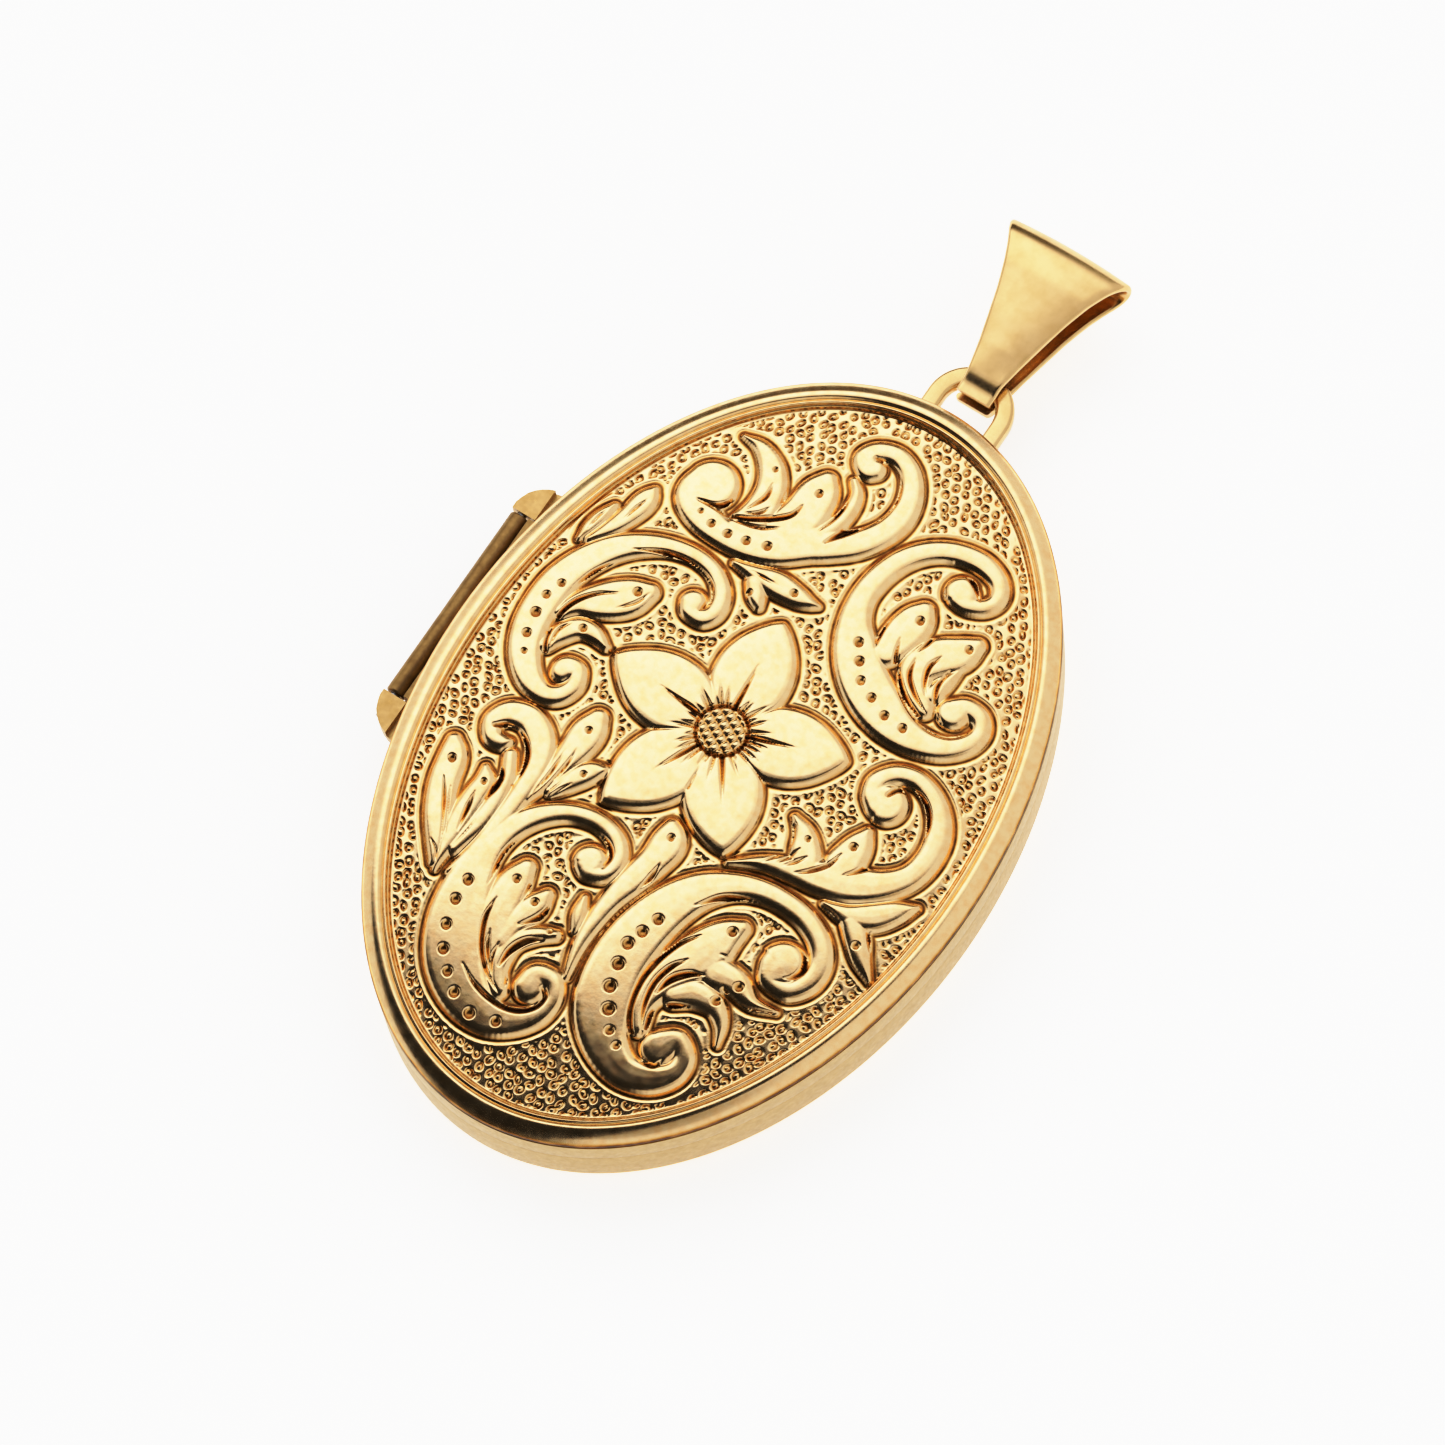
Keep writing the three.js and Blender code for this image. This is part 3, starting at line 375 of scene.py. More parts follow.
def stipple(x, y, seed):
    """Small ring punches on a loose lattice: how deep each place is struck, from 0 to 1."""
    rng = np.random.default_rng(seed)
    cells = STIPPLE_CELLS
    shift = rng.uniform(-0.09, 0.09, (cells, cells, 2))
    size = rng.uniform(0.115, 0.155, (cells, cells))
    stretch = rng.uniform(0.8, 1.25, (cells, cells))
    turn = rng.uniform(0, math.pi, (cells, cells))
    gap_at = rng.uniform(0, 2 * math.pi, (cells, cells))
    row = np.floor(y / STIPPLE_ROW).astype(int)
    struck = np.zeros(len(x))
    for dj in (-1, 0, 1):
        j = row + dj
        offset = 0.5 * (j % 2)
        column = np.floor(x / STIPPLE_PITCH - offset + 0.5).astype(int)
        for di in (-1, 0, 1):
            i = column + di
            ci, cj = (i + cells // 2) % cells, (j + cells // 2) % cells
            dx = x - (i + offset) * STIPPLE_PITCH - shift[ci, cj, 0]
            dy = y - (j + 0.5) * STIPPLE_ROW - shift[ci, cj, 1]
            c, s = np.cos(turn[ci, cj]), np.sin(turn[ci, cj])
            u, v = (c * dx + s * dy) * stretch[ci, cj], (-s * dx + c * dy) / stretch[ci, cj]
            r = np.hypot(u, v)
            worn = 0.75 + 0.25 * np.cos(np.arctan2(v, u) - gap_at[ci, cj])
            struck = np.maximum(struck, worn * np.exp(-(((r - size[ci, cj]) / PUNCH_EDGE) ** 2)))
    return struck


SEED_WAY = (0.88, -0.47)  # the rows of seeds in the flower's disc run this way
SEED_ROW, SEED_LENGTH = 0.42, 0.34


def flower_disc(x, y):
    """Slanting rows of seeds with furrows between them: height of the seeds from 0 to 1."""
    dx, dy = x - FLOWER_CENTRE[0], y - FLOWER_CENTRE[1]
    across = SEED_WAY[0] * dy - SEED_WAY[1] * dx
    along = SEED_WAY[0] * dx + SEED_WAY[1] * dy
    row = np.floor(across / SEED_ROW)
    edge_across = np.abs(across / SEED_ROW - row - 0.5) * 2
    edge_along = np.abs((along / SEED_LENGTH + 0.5 * (row % 2)) % 1 - 0.5) * 2
    return (1 - edge_across**3.2) * (1 - edge_along**4.5)


PUNCH_DEPTH = 0.12
CUT_SLOPE = 1.25  # how steeply the sides of a cut go down
CUT_LIMIT = 0.2
HOLLOW_DEPTH = 0.62  # depth of a punched hollow for each millimetre of its radius
DISC_HEIGHT, SEED_HEIGHT = 0.19, 0.11
FADE = 0.06  # the punches and the relief fade in over this distance from a form or the rim


def relief(x, y, border):
    """Height over the ground, and a tint from 0 to 1 of patina in the hollows with painted shade along the
    foot and slopes of the raised forms; border is the distance from the rim.
    """
    scrolls = union_distance(x, y, SCROLL_STROKES)
    petals = union_distance(x, y, petal_strokes())
    disc = np.hypot(x - FLOWER_CENTRE[0], y - FLOWER_CENTRE[1]) - FLOWER_DISC
    motif = np.minimum(scrolls, petals)

    height = np.maximum(raised(scrolls, SCROLL_SECTION), raised(petals, PETAL_SECTION))
    height = np.where(motif > WALL + LIP, np.clip(height, 0, None), height)
    open_ground = np.clip((motif - WALL - LIP - FADE) / FADE, 0, 1)
    struck = stipple(x, y, seed=11) * (open_ground * np.clip((border - FADE) / FADE, 0, 1))
    height -= PUNCH_DEPTH * struck

    cut = np.zeros(len(x))
    for stroke in GROOVES + petal_cuts():
        cut = np.maximum(cut, -stroke_distance(x, y, stroke))
    cut = np.clip(CUT_SLOPE * cut * (motif < 0.02), 0, CUT_LIMIT)
    height -= CUT_SLOPE * cut

    punched = np.zeros(len(x))
    for px, py, r in DOTS:
        near = np.flatnonzero(np.hypot(x - px, y - py) < 1.6 * r)
        q = np.hypot(x[near] - px, y[near] - py) / (0.85 * r)
        height[near] -= HOLLOW_DEPTH * r * np.sqrt(np.clip(1 - q**2, 0, 1))
        punched[near] = np.clip(1.1 - 1.1 * q, 0, 0.65)

    seeds = flower_disc(x, y)
    groove = np.exp(-(((disc - 0.06) / 0.07) ** 2))
    height = np.where(disc < 0, DISC_HEIGHT + SEED_HEIGHT * seeds, height)
    height -= 0.16 * groove * (disc > -0.05)

    # The tint is patina in the channels, cuts, punches and seed furrows; its near black along the foot of
    # each form and its tint down the slope (wall) are painted shade.
    foot = np.exp(-(((motif - WALL + 0.02) / 0.075) ** 2))
    ridge = np.exp(-(((motif - WALL - LIP) / 0.1) ** 2)) * (motif > WALL)
    wall = np.clip((motif - 0.06) / 0.08, 0, 1) * (motif < WALL)
    in_cut = np.clip((cut - 0.05) / 0.09, 0, 1)
    ground = [0.95 * foot, 0.03 * ridge, 0.48 * wall, 0.85 * struck]
    patina_and_shade = np.maximum.reduce([*ground, in_cut, punched, 0.8 * groove])
    patina_and_shade = np.where(disc < 0, np.clip(0.85 - 1.7 * seeds, 0, 0.8), patina_and_shade)
    return height, np.clip(patina_and_shade, 0, 1)


RIM_PROFILE = [  # (inset from the outer oval, height above the ground, patina and painted shade), from the edge inwards; the near black at the outer edge is painted shade, the tint further in patina
    (0.0, -0.27, 1.0), (0.005, -0.2, 0.95), (0.02, -0.15, 0.75), (0.06, -0.105, 0.3), (0.12, -0.045, 0),
    (0.22, 0.035, 0), (0.34, 0.11, 0), (0.46, 0.175, 0), (0.56, 0.215, 0), (0.66, 0.235, 0),
    (0.76, 0.23, 0), (0.82, 0.2, 0.05), (0.88, 0.13, 0.22), (0.92, 0.11, 0.3), (0.96, 0.145, 0.05),
    (1.01, 0.17, 0), (1.06, 0.155, 0.05), (1.1, 0.09, 0.2), (1.13, 0.02, 0.5), (1.165, 0.02, 0.15),
    (1.2, -0.01, 0.15), (1.24, -0.12, 0.55), (RIM_WIDTH, -0.17, 0.35),
]
GRID_PITCH = 0.045  # spacing of the mesh over the embossed field
DOME = 0.28  # the embossed field falls away by this much, mostly close to the rim


def field_grid():
    """A square grid wrapped smoothly into the oval inside the rim: x and y of each node."""
    u = np.linspace(-1, 1, 2 * round(FIELD_HALF_WIDTH / GRID_PITCH) + 1)[:, None]
    v = np.linspace(-1, 1, 2 * round(FIELD_HALF_LENGTH / GRID_PITCH) + 1)[None, :]
    return FIELD_HALF_WIDTH * u * np.sqrt(1 - v**2 / 2), FIELD_HALF_LENGTH * v * np.sqrt(1 - u**2 / 2)


def softened(grid):
    """The grid of heights after one light smoothing each way."""
    out = grid.copy()
    out[1:-1] = 0.2 * grid[:-2] + 0.6 * grid[1:-1] + 0.2 * grid[2:]
    both = out.copy()
    both[:, 1:-1] = 0.2 * out[:, :-2] + 0.6 * out[:, 1:-1] + 0.2 * out[:, 2:]
    return both


OVAL_ANGLES = np.linspace(0, 2 * math.pi, 288, endpoint=False)


def oval_loop(inset, z, angle=OVAL_ANGLES):
    """Points round the case's oval, moved inwards by inset."""
    x, y = (HALF_WIDTH - inset) * np.cos(angle), (HALF_LENGTH - inset) * np.sin(angle)
    return np.stack([x, y, np.full(len(angle), z)], -1)


def ease(values):
    """Draws each value but the first and last towards its neighbours."""
    values[1:-1] = 0.25 * values[:-2] + 0.5 * values[1:-1] + 0.25 * values[2:]


def rim_rows():
    """(inset, height, patina and painted shade) from the border of the field out over the rim and under
    the plate.
    """
    profile = np.array(RIM_PROFILE)
    half_steps = np.arange(0, len(profile) - 0.5, 0.5)
    insets = np.interp(half_steps, np.arange(len(profile)), profile[::-1, 0])[1:]
    line = np.stack([insets, *(np.interp(insets, profile[:, 0], profile[:, k]) for k in (1, 2))], -1)
    ease(line[:, 1])
    underside = PLATE_UNDERSIDE - GROUND_Z
    # The outer edge and underside of the plate are painted dark, as shade.
    return np.vstack([line, [(0.0, underside + 0.17, 0.9), (0.12, underside, 0.4)]])


def front_plate_mesh():
    """The front plate as one closed shell: relief and rim on top, a plain underside."""
    x, y = field_grid()
    share2 = (x / FIELD_HALF_WIDTH) ** 2 + (y / FIELD_HALF_LENGTH) ** 2
    steepness = 2 * np.sqrt((x / FIELD_HALF_WIDTH**2) ** 2 + (y / FIELD_HALF_LENGTH**2) ** 2)
    border = (1 - share2) / np.maximum(steepness, 0.02)
    height, patina_and_shade = relief(x.ravel(), y.ravel(), border.ravel())
    height = softened(height.reshape(x.shape)) + DOME * (0.36 - share2**2.5)
    seat = RIM_PROFILE[-1][1]
    height = seat + (height - seat) * np.clip(border / FADE, 0, 1)
    field = np.stack([x.ravel(), y.ravel(), GROUND_Z + height.ravel()], -1)
    number = np.arange(x.size).reshape(x.shape)
    cells = [number[:-1, :-1], number[1:, :-1], number[1:, 1:], number[:-1, 1:]]
    quads = np.stack(cells, -1).reshape(-1, 4)
    edge = np.concatenate([number[:-1, 0], number[-1, :-1], number[:0:-1, -1], number[0, :0:-1]])
    angle = np.arctan2(field[edge, 1] / FIELD_HALF_LENGTH, field[edge, 0] / FIELD_HALF_WIDTH)

    line = rim_rows()
    rows = np.array([oval_loop(inset, GROUND_Z + z, angle) for inset, z, _ in line])
    count = len(angle)
    vertices = np.vstack([field, rows.reshape(-1, 3), [[0, 0, PLATE_UNDERSIDE]]])
    loops = np.vstack([edge, x.size + np.arange(len(rows) * count).reshape(-1, count)])
    ahead = np.roll(loops, -1, axis=1)
    skirt = np.stack([loops[:-1], loops[1:], ahead[1:], ahead[:-1]], -1).reshape(-1, 4)
    fan = np.stack([ahead[-1], loops[-1], np.full(count, len(vertices) - 1)], -1)
    tint = np.concatenate([patina_and_shade, np.repeat(line[:, 2], count), line[-1:, 2]])
    return vertices, np.vstack([quads, skirt]), fan, tint


# ---- mesh and object helpers


def enclosed(vertices, quads, triangles):
    """Six times the volume inside the faces; it is negative when they face inwards."""
    points = np.asarray(vertices, float)
    fans = np.vstack([quads[:, [0, 1, 2]], quads[:, [0, 2, 3]], triangles])
    first, second, third = (points[fans[:, k]] for k in range(3))
    return np.einsum("ij,ij->", first, np.cross(second, third))


def add_object(name, vertices, quads, triangles=(), attributes=None, smooth=True):
    """Mesh object from vertices in millimetres; smooth ones are closed, and made to face outwards."""
    quads = np.asarray(quads, np.int32).reshape(-1, 4)
    triangles = np.asarray(triangles, np.int32).reshape(-1, 3)
    if smooth and enclosed(vertices, quads, triangles) < 0:
        quads, triangles = quads[:, ::-1], triangles[:, ::-1]
    mesh = bpy.data.meshes.new(name)
    mesh.vertices.add(len(vertices))
    mesh.vertices.foreach_set("co", (np.asarray(vertices, float) * MM).astype(np.float32).ravel())
    mesh.loops.add(quads.size + triangles.size)
    mesh.loops.foreach_set("vertex_index", np.concatenate([quads.ravel(), triangles.ravel()]))
    starts = np.concatenate([np.arange(len(quads)) * 4, quads.size + np.arange(len(triangles)) * 3])
    mesh.polygons.add(len(starts))
    mesh.polygons.foreach_set("loop_start", starts.astype(np.int32))
    mesh.update(calc_edges=True)
    mesh.validate()
    for key, values in (attributes or {}).items():
        layer = mesh.attributes.new(key, "FLOAT", "POINT")
        layer.data.foreach_set("value", np.asarray(values, np.float32))
    if smooth:
        mesh.shade_smooth()
        mesh.set_sharp_from_angle(angle=math.radians(50))
    obj = bpy.data.objects.new(name, mesh)
    bpy.context.scene.collection.objects.link(obj)
    return obj


def dress(obj, material, slot, body, *nodes):
    """Gives a new piece its material and body, and the CAD nodes that it stands for; slot is not used."""
    obj.data.materials.clear()
    obj.data.materials.append(material)
    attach(obj, body)
    if nodes:
        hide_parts(*nodes)
    return obj


# ---- materials


class Nodes:
    """Short calls for building a node material."""

    def __init__(self, name):
        self.material = bpy.data.materials.new(name)
        self.material.use_nodes = True
        self.tree = self.material.node_tree
        self.shader = self.tree.nodes["Principled BSDF"]

    @classmethod
    def over(cls, tree):
        """The same short calls over a tree that exists already."""
        made = cls.__new__(cls)
        made.tree = tree
        return made

    def node(self, kind, inputs=None, **settings):
        made = self.tree.nodes.new(kind)
        for key, value in settings.items():
            setattr(made, key, value)
        for key, value in (inputs or {}).items():
            self.put(made.inputs[key], value)
        return made

    def put(self, socket, value):
        if isinstance(value, bpy.types.NodeSocket):
            self.tree.links.new(value, socket)
        else:
            socket.default_value = value

    def surface(self, **values):
        """Sets inputs of the shader, in whose names _ stands for a space here."""
        for key, value in values.items():
            self.put(self.shader.inputs[key.replace("_", " ")], value)
        return self.material

    def noise(self, scale, detail=3.0, stretch=(1, 1, 1)):
        place = self.node("ShaderNodeTexCoord").outputs["Object"]
        mapped = self.node("ShaderNodeMapping", {"Vector": place, "Scale": stretch}).outputs["Vector"]
        inputs = {"Vector": mapped, "Scale": scale, "Detail": detail}
        return self.node("ShaderNodeTexNoise", inputs).outputs["Fac"]

    def ramp(self, value, low, high, out_low=0.0, out_high=1.0):
        inputs = {"Value": value, "From Min": low, "From Max": high, "To Min": out_low, "To Max": out_high}
        return self.node("ShaderNodeMapRange", inputs, clamp=True).outputs["Result"]

    def math(self, operation, *values):
        made = self.node("ShaderNodeMath", operation=operation)
        for socket, value in zip(made.inputs, values):
            self.put(socket, value)
        return made.outputs["Value"]

    def bump(self, height, distance, strength):
        inputs = {"Height": height, "Distance": distance, "Strength": strength}
        return self.node("ShaderNodeBump", inputs).outputs["Normal"]

    def dot(self, place, way):
        made = self.node("ShaderNodeVectorMath", operation="DOT_PRODUCT")
        self.put(made.inputs[0], self.node("ShaderNodeTexCoord").outputs[place])
        made.inputs[1].default_value = way
        return made.outputs["Value"]


def colour_mix(n, amount, first, second, blend="MIX"):
    """Mixes two colours; the sockets share their names, so they are told by their identifiers."""
    made = n.node("ShaderNodeMix", data_type="RGBA", blend_type=blend)
    sockets = {s.identifier: s for s in made.inputs}
    n.put(sockets["Factor_Float"], amount)
    n.put(sockets["A_Color"], first)
    n.put(sockets["B_Color"], second)
    return next(s for s in made.outputs if s.identifier == "Result_Color")


GOLD = (0.95, 0.675, 0.37, 1)
GOLD_SHADE = (0.90, 0.60, 0.29, 1)
PATINA_AND_SHADE = [  # colour of the gold from clean, through the brown patina of the hollows, to the near black of painted shade
    (0.0, GOLD), (0.28, (0.84, 0.51, 0.19, 1)), (0.6, (0.42, 0.19, 0.05, 1)),
    (1.0, (0.07, 0.03, 0.01, 1)),
]


def gold(name, tones, grain, roughness, bump_depth, stretch=(1, 1, 1), tone_scale=900.0):
    """Gold with clouded colour, uneven gloss and fine marks; stretch sets the way the marks run."""
    n = Nodes(name)
    clouds = n.ramp(n.noise(tone_scale, 5.0), 0.35, 0.7)
    return n.surface(
        Base_Color=colour_mix(n, clouds, *tones),
        Metallic=1.0,
        Roughness=n.ramp(n.noise(grain * 0.7, 4.0), 0.3, 0.7, *roughness),
        Normal=n.bump(n.noise(grain, 3.0, stretch), bump_depth, 0.6),
    )


def relief_gold():
    """Polished gold whose recesses hold a brown patina, darkened further as painted shade along the foot
    and slopes of the relief and on the rim's outer edge.
    """
    n = Nodes("polished_gold_relief")
    patina_and_shade = n.node("ShaderNodeAttribute", attribute_name="patina_and_shade").outputs["Fac"]
    patchy = n.math("MULTIPLY", patina_and_shade, n.ramp(n.noise(1400.0, 4.0), 0.3, 0.65, 0.75, 1.15))
    ramp = n.node("ShaderNodeValToRGB", {"Fac": patchy})
    while len(ramp.color_ramp.elements) < len(PATINA_AND_SHADE):
        ramp.color_ramp.elements.new(0.5)
    for element, (place, colour) in zip(ramp.color_ramp.elements, PATINA_AND_SHADE):
        element.position, element.color = place, colour
    clouds = n.ramp(n.noise(2600.0, 4.0), 0.4, 0.72, 0.0, 0.35)
    gloss = n.ramp(n.noise(2000.0, 4.0), 0.3, 0.7, 0.15, 0.24)
    return n.surface(
        Base_Color=colour_mix(n, clouds, ramp.outputs["Color"], GOLD_SHADE, "MULTIPLY"),
        Metallic=1.0,
        Roughness=n.math("ADD", gloss, n.ramp(patina_and_shade, 0.2, 1.0, 0.0, 0.16)),
        Normal=n.bump(n.noise(3400.0, 4.0), 0.000006, 0.5),
    )


def pin_steel():
    """Drawn steel wire, marked along its length."""
    n = Nodes("pin_steel")
    tone = n.ramp(n.noise(2500.0, 4.0, (1, 0.2, 1)), 0.3, 0.7)
    return n.surface(
        Base_Color=colour_mix(n, tone, (0.56, 0.56, 0.57, 1), (0.42, 0.42, 0.43, 1)),
        Metallic=1.0,
        Roughness=n.ramp(n.noise(4000.0), 0.3, 0.7, 0.28, 0.42),
        Normal=n.bump(n.noise(9000.0, 2.0, (1, 0.05, 1)), 0.000004, 0.5),
    )


CARD_LINES = ((0.86, 0.006), (0.835, 0.003))  # (share of the oval's size, half breadth as a share)
INK = (0.28, 0.16, 0.08, 1)


def picture_card(half_across, half_along):
    """Ivory card with fibres and a plain double border line round the oval."""
    n = Nodes("picture_card")
    place = n.node("ShaderNodeTexCoord").outputs["Object"]
    scaled = n.node("ShaderNodeVectorMath", operation="MULTIPLY")
    n.put(scaled.inputs[0], place)
    scaled.inputs[1].default_value = (1 / (half_across * MM), 1 / (half_along * MM), 0)
    length = n.node("ShaderNodeVectorMath", operation="LENGTH")
    n.put(length.inputs[0], scaled.outputs["Vector"])
    lines = []
    for share, half in CARD_LINES:
        off = n.math("ABSOLUTE", n.math("SUBTRACT", length.outputs["Value"], share))
        lines.append(n.ramp(off, half, half + 0.003, 1.0, 0.0))
    border = n.math("MAXIMUM", *lines)
    fibres = n.ramp(n.noise(1800.0, 6.0, (1, 0.35, 1)), 0.3, 0.75)
    paper = colour_mix(n, fibres, (0.93, 0.85, 0.67, 1), (0.85, 0.76, 0.57, 1))
    return n.surface(
        Base_Color=colour_mix(n, border, paper, INK),
        Roughness=n.ramp(n.noise(2500.0), 0.3, 0.7, 0.75, 0.95),
        Normal=n.bump(n.noise(5000.0, 4.0), 0.00001, 0.5),
    )


def clear_window():
    """Thin clear acrylic with faint scuffs, which lets the light fall on the card behind it."""
    n = Nodes("clear_window")
    haze = n.ramp(n.noise(900.0, 5.0, (1, 4, 1)), 0.45, 0.8)
    return n.surface(
        Base_Color=colour_mix(n, haze, (0.86, 0.88, 0.88, 1), (0.95, 0.96, 0.96, 1)),
        Alpha=n.ramp(haze, 0.0, 1.0, 0.1, 0.16),
        Roughness=n.ramp(haze, 0.0, 1.0, 0.04, 0.14),
        Normal=n.bump(n.noise(3000.0, 3.0, (1, 8, 1)), 0.000002, 0.3),
    )


TONES = (GOLD, GOLD_SHADE)
SATIN_TONES = ((0.78, 0.53, 0.26, 1), (0.68, 0.45, 0.20, 1))
# The side band's tones are darker than the gold of the front: painted shade on the upright side of the
# case.
SIDE_TONES = ((0.56, 0.39, 0.17, 1), (0.48, 0.33, 0.13, 1))
POLISHED = gold("polished_gold", TONES, 2600.0, (0.14, 0.24), 0.000006)
RELIEF_GOLD = relief_gold()
SATIN_SIDE = gold("satin_gold_side", SIDE_TONES, 8000.0, (0.28, 0.42), 0.000018, (1, 1, 0.08), 2500.0)
SATIN = gold("satin_gold", SATIN_TONES, 12000.0, (0.17, 0.24), 0.0000015, (1, 0.25, 1), 1300.0)
# The hinge tones are dark brown: painted shade on the knuckle and the hinge bearers.
HINGE_TONES = ((0.36, 0.22, 0.09, 1), (0.24, 0.14, 0.055, 1))
# The ears' tones are darker than the gold of the case: painted shade.
EAR_TONES = ((0.58, 0.38, 0.16, 1), (0.48, 0.30, 0.11, 1))
HINGE_GOLD = gold("satin_gold_painted_shade", HINGE_TONES, 9000.0, (0.32, 0.48), 0.000004, (1, 0.1, 1), 1800.0)
EAR_GOLD = gold("satin_gold_ears", EAR_TONES, 9000.0, (0.26, 0.4), 0.000004, (1, 0.3, 1), 1500.0)
STEEL = pin_steel()
WINDOW = clear_window()

# ---- bodies that run round the oval


def rounded(corners, radius, steps=4, closed=True):
    """The same outline with each corner cut back by up to radius and joined by a curve."""
    points = [np.array(c, float) for c in corners]
    out = []
    for k, corner in enumerate(points):
        if not closed and k in (0, len(points) - 1):
            out.append(corner)
            continue
        before, after = points[k - 1], points[(k + 1) % len(points)]
        cut = [min(radius / np.linalg.norm(p - corner), 0.48) * (p - corner) for p in (before, after)]
        for t in np.linspace(0, 1, steps + 1):
            out.append(corner + (1 - t) ** 2 * cut[0] + t**2 * cut[1])
    return out


def tube_mesh(rows, closed):
    """Quads between loops of points; closed joins the last loop to the first, and else both are capped."""
    rows = np.asarray(rows)
    count, size = rows.shape[:2]
    number = np.arange(count * size).reshape(count, size)
    if closed:
        number = np.vstack([number, number[:1]])
    ahead = np.roll(number, -1, axis=1)
    quads = np.stack([number[:-1], number[1:], ahead[1:], ahead[:-1]], -1).reshape(-1, 4)
    vertices = rows.reshape(-1, 3)
    if closed:
        return vertices, quads, np.zeros((0, 3), int)
    first = np.stack([number[0], ahead[0], np.full(size, len(vertices))], -1)
    last = np.stack([ahead[-1], number[-1], np.full(size, len(vertices) + 1)], -1)
    ends = [rows[0].mean(0), rows[-1].mean(0)]
    return np.vstack([vertices, ends]), quads, np.vstack([first, last])


def oval_ring(name, corners, radius):
    """A ring round the oval; each corner of its section is (inset, z)."""
    rows = [oval_loop(inset, z) for inset, z in rounded(corners, radius)]
    return add_object(name, *tube_mesh(rows, closed=True))


def polished_ring(name, corners, radius, body, node):
    """A ring of polished gold that stands for a CAD node."""
    dress(oval_ring(name, corners, radius), POLISHED, "polished_gold", body, node)


def flat_loop(corner, share):
    """The oval through a corner of the edge, drawn in towards the middle to a share of its size."""
    inset = HALF_WIDTH - share * (HALF_WIDTH - corner[0])
    shorter = share * (HALF_LENGTH - corner[0]) / (HALF_LENGTH - inset)
    return oval_loop(inset, corner[1]) * [1, shorter, 1]


def oval_plate(name, outline, radius):
    """A filled oval; the outline of its edge is (inset, z) from the underside to the top."""
    edge = rounded(outline, radius, closed=False)
    rows = [flat_loop(edge[0], share) for share in np.linspace(0.02, 0.96, 14)]
    rows += [oval_loop(inset, z) for inset, z in edge]
    rows += [flat_loop(edge[-1], share) for share in np.linspace(0.96, 0.02, 14)]
    return add_object(name, *tube_mesh(rows, closed=False))


# ---- front and back halves


def front_plate():
    """The embossed front, with the patina and painted shade of each place in a vertex attribute."""
    vertices, quads, fan, patina_and_shade = front_plate_mesh()
    plate = add_object("front_plate_embossed", vertices, quads, fan, {"patina_and_shade": patina_and_shade})
    dress(plate, RELIEF_GOLD, "polished_gold", "front_half", "front_plate")


BAND_WALL = 0.45
SEAM_CLOSED = 0.028  # the front band comes this much closer to the back band than its CAD node does


def side_band(node, body):
    """A satin side band with finely eased edges; its darker colour is painted shade."""
    z0, z1 = levels(node)
    if body == "front_half":
        z0 -= SEAM_CLOSED
    section = [(0.0, z0), (0.0, z1), (BAND_WALL, z1), (BAND_WALL, z0)]
    dress(oval_ring(node + "_satin", section, 0.02), SATIN_SIDE, "satin_gold", body, node)


def back_plate():
    """A flat back whose edge curves up to the side band, with a shallow turned line near it."""
    top = levels("back_plate")[1]
    sheet, flat_from = 0.45, 3.5
    line_at, line_depth, line_half = 1.9, 0.05, 0.12
    outline = [(flat_from, 0.0), (line_at + line_half, 0.0), (line_at, line_depth),
               (line_at - line_half, 0.0), (0.98, 0.0), (0.62, 0.05), (0.3, 0.23), (0.1, 0.52),
               (0.0, top), (BAND_WALL, top), (0.75, sheet), (flat_from, sheet)]
    plate = oval_plate("back_plate_domed", outline, 0.12)
    dress(plate, POLISHED, "polished_gold", "back_half", "back_plate")


def snap_lip():
    """The springy lip, with a rolled bead that clicks into the front half."""
    z0, z1 = levels("snap_lip")
    section = [(0.53, z0), (0.53, z1 - 0.34), (0.51, z1 - 0.26), (0.51, z1 - 0.16), (0.6, z1),
               (0.76, z1), (0.84, z1 - 0.12), (0.84, z0)]
    polished_ring("snap_lip_beaded", section, 0.05, "back_half", "snap_lip")


def bezels():
    """The rings that hold the picture frames; the one in the back has a ledge under the card."""
    z0, z1 = levels("back_bezel")
    ledge = z0 + 0.4
    section = [(0.87, z0), (0.87, z1), (1.35, z1), (1.35, ledge), (1.95, ledge), (1.95, z0)]
    polished_ring("back_bezel_turned", section, 0.06, "back_half", "back_bezel")
    z0, z1 = levels("front_bezel")
    section = [(1.25, z0), (1.25, z1), (1.6, z1), (1.6, z0)]
    polished_ring("front_bezel_turned", section, 0.06, "front_half", "front_bezel")


def picture_frame(node, body, inset, facing):
    """A frame that clips into a bezel: flat outside, rolled towards the picture, with a fine line."""
    near, far = levels(node)[::facing]
    rise = far - near
    section = [(inset, near), (inset, far), (inset + 0.16, far), (inset + 0.2, far - 0.12 * rise),
               (inset + 0.24, far), (inset + 0.5, far), (inset + 0.74, near + 0.75 * rise),
               (inset + 0.9, near + 0.45 * rise), (inset + 0.95, near + 0.2 * rise), (inset + 0.95, near)]
    polished_ring(node + "_rolled", section[::facing], 0.05, body, node)


def flat_outline(node, inset, margin):
    """Edge of a flat oval between the levels of a CAD node."""
    z0, z1 = levels(node)
    return [(inset + margin, z0), (inset, z0), (inset, z1), (inset + margin, z1)]


def window_and_card(side, inset):
    """The clear pane of one half and the ivory card behind it."""
    node = side + "_window"
    pane = oval_plate(side + "_window_clear", flat_outline(node, inset, 0.6), 0.05)
    dress(pane, WINDOW, "clear_window", side + "_half", node)
    node = side + "_picture_card"
    card = oval_plate(side + "_card_ivory", flat_outline(node, inset, 0.5), 0.03)
    paper = picture_card(HALF_WIDTH - inset, HALF_LENGTH - inset)
    dress(card, paper, "picture_card", side + "_half", node)


# ---- hinge


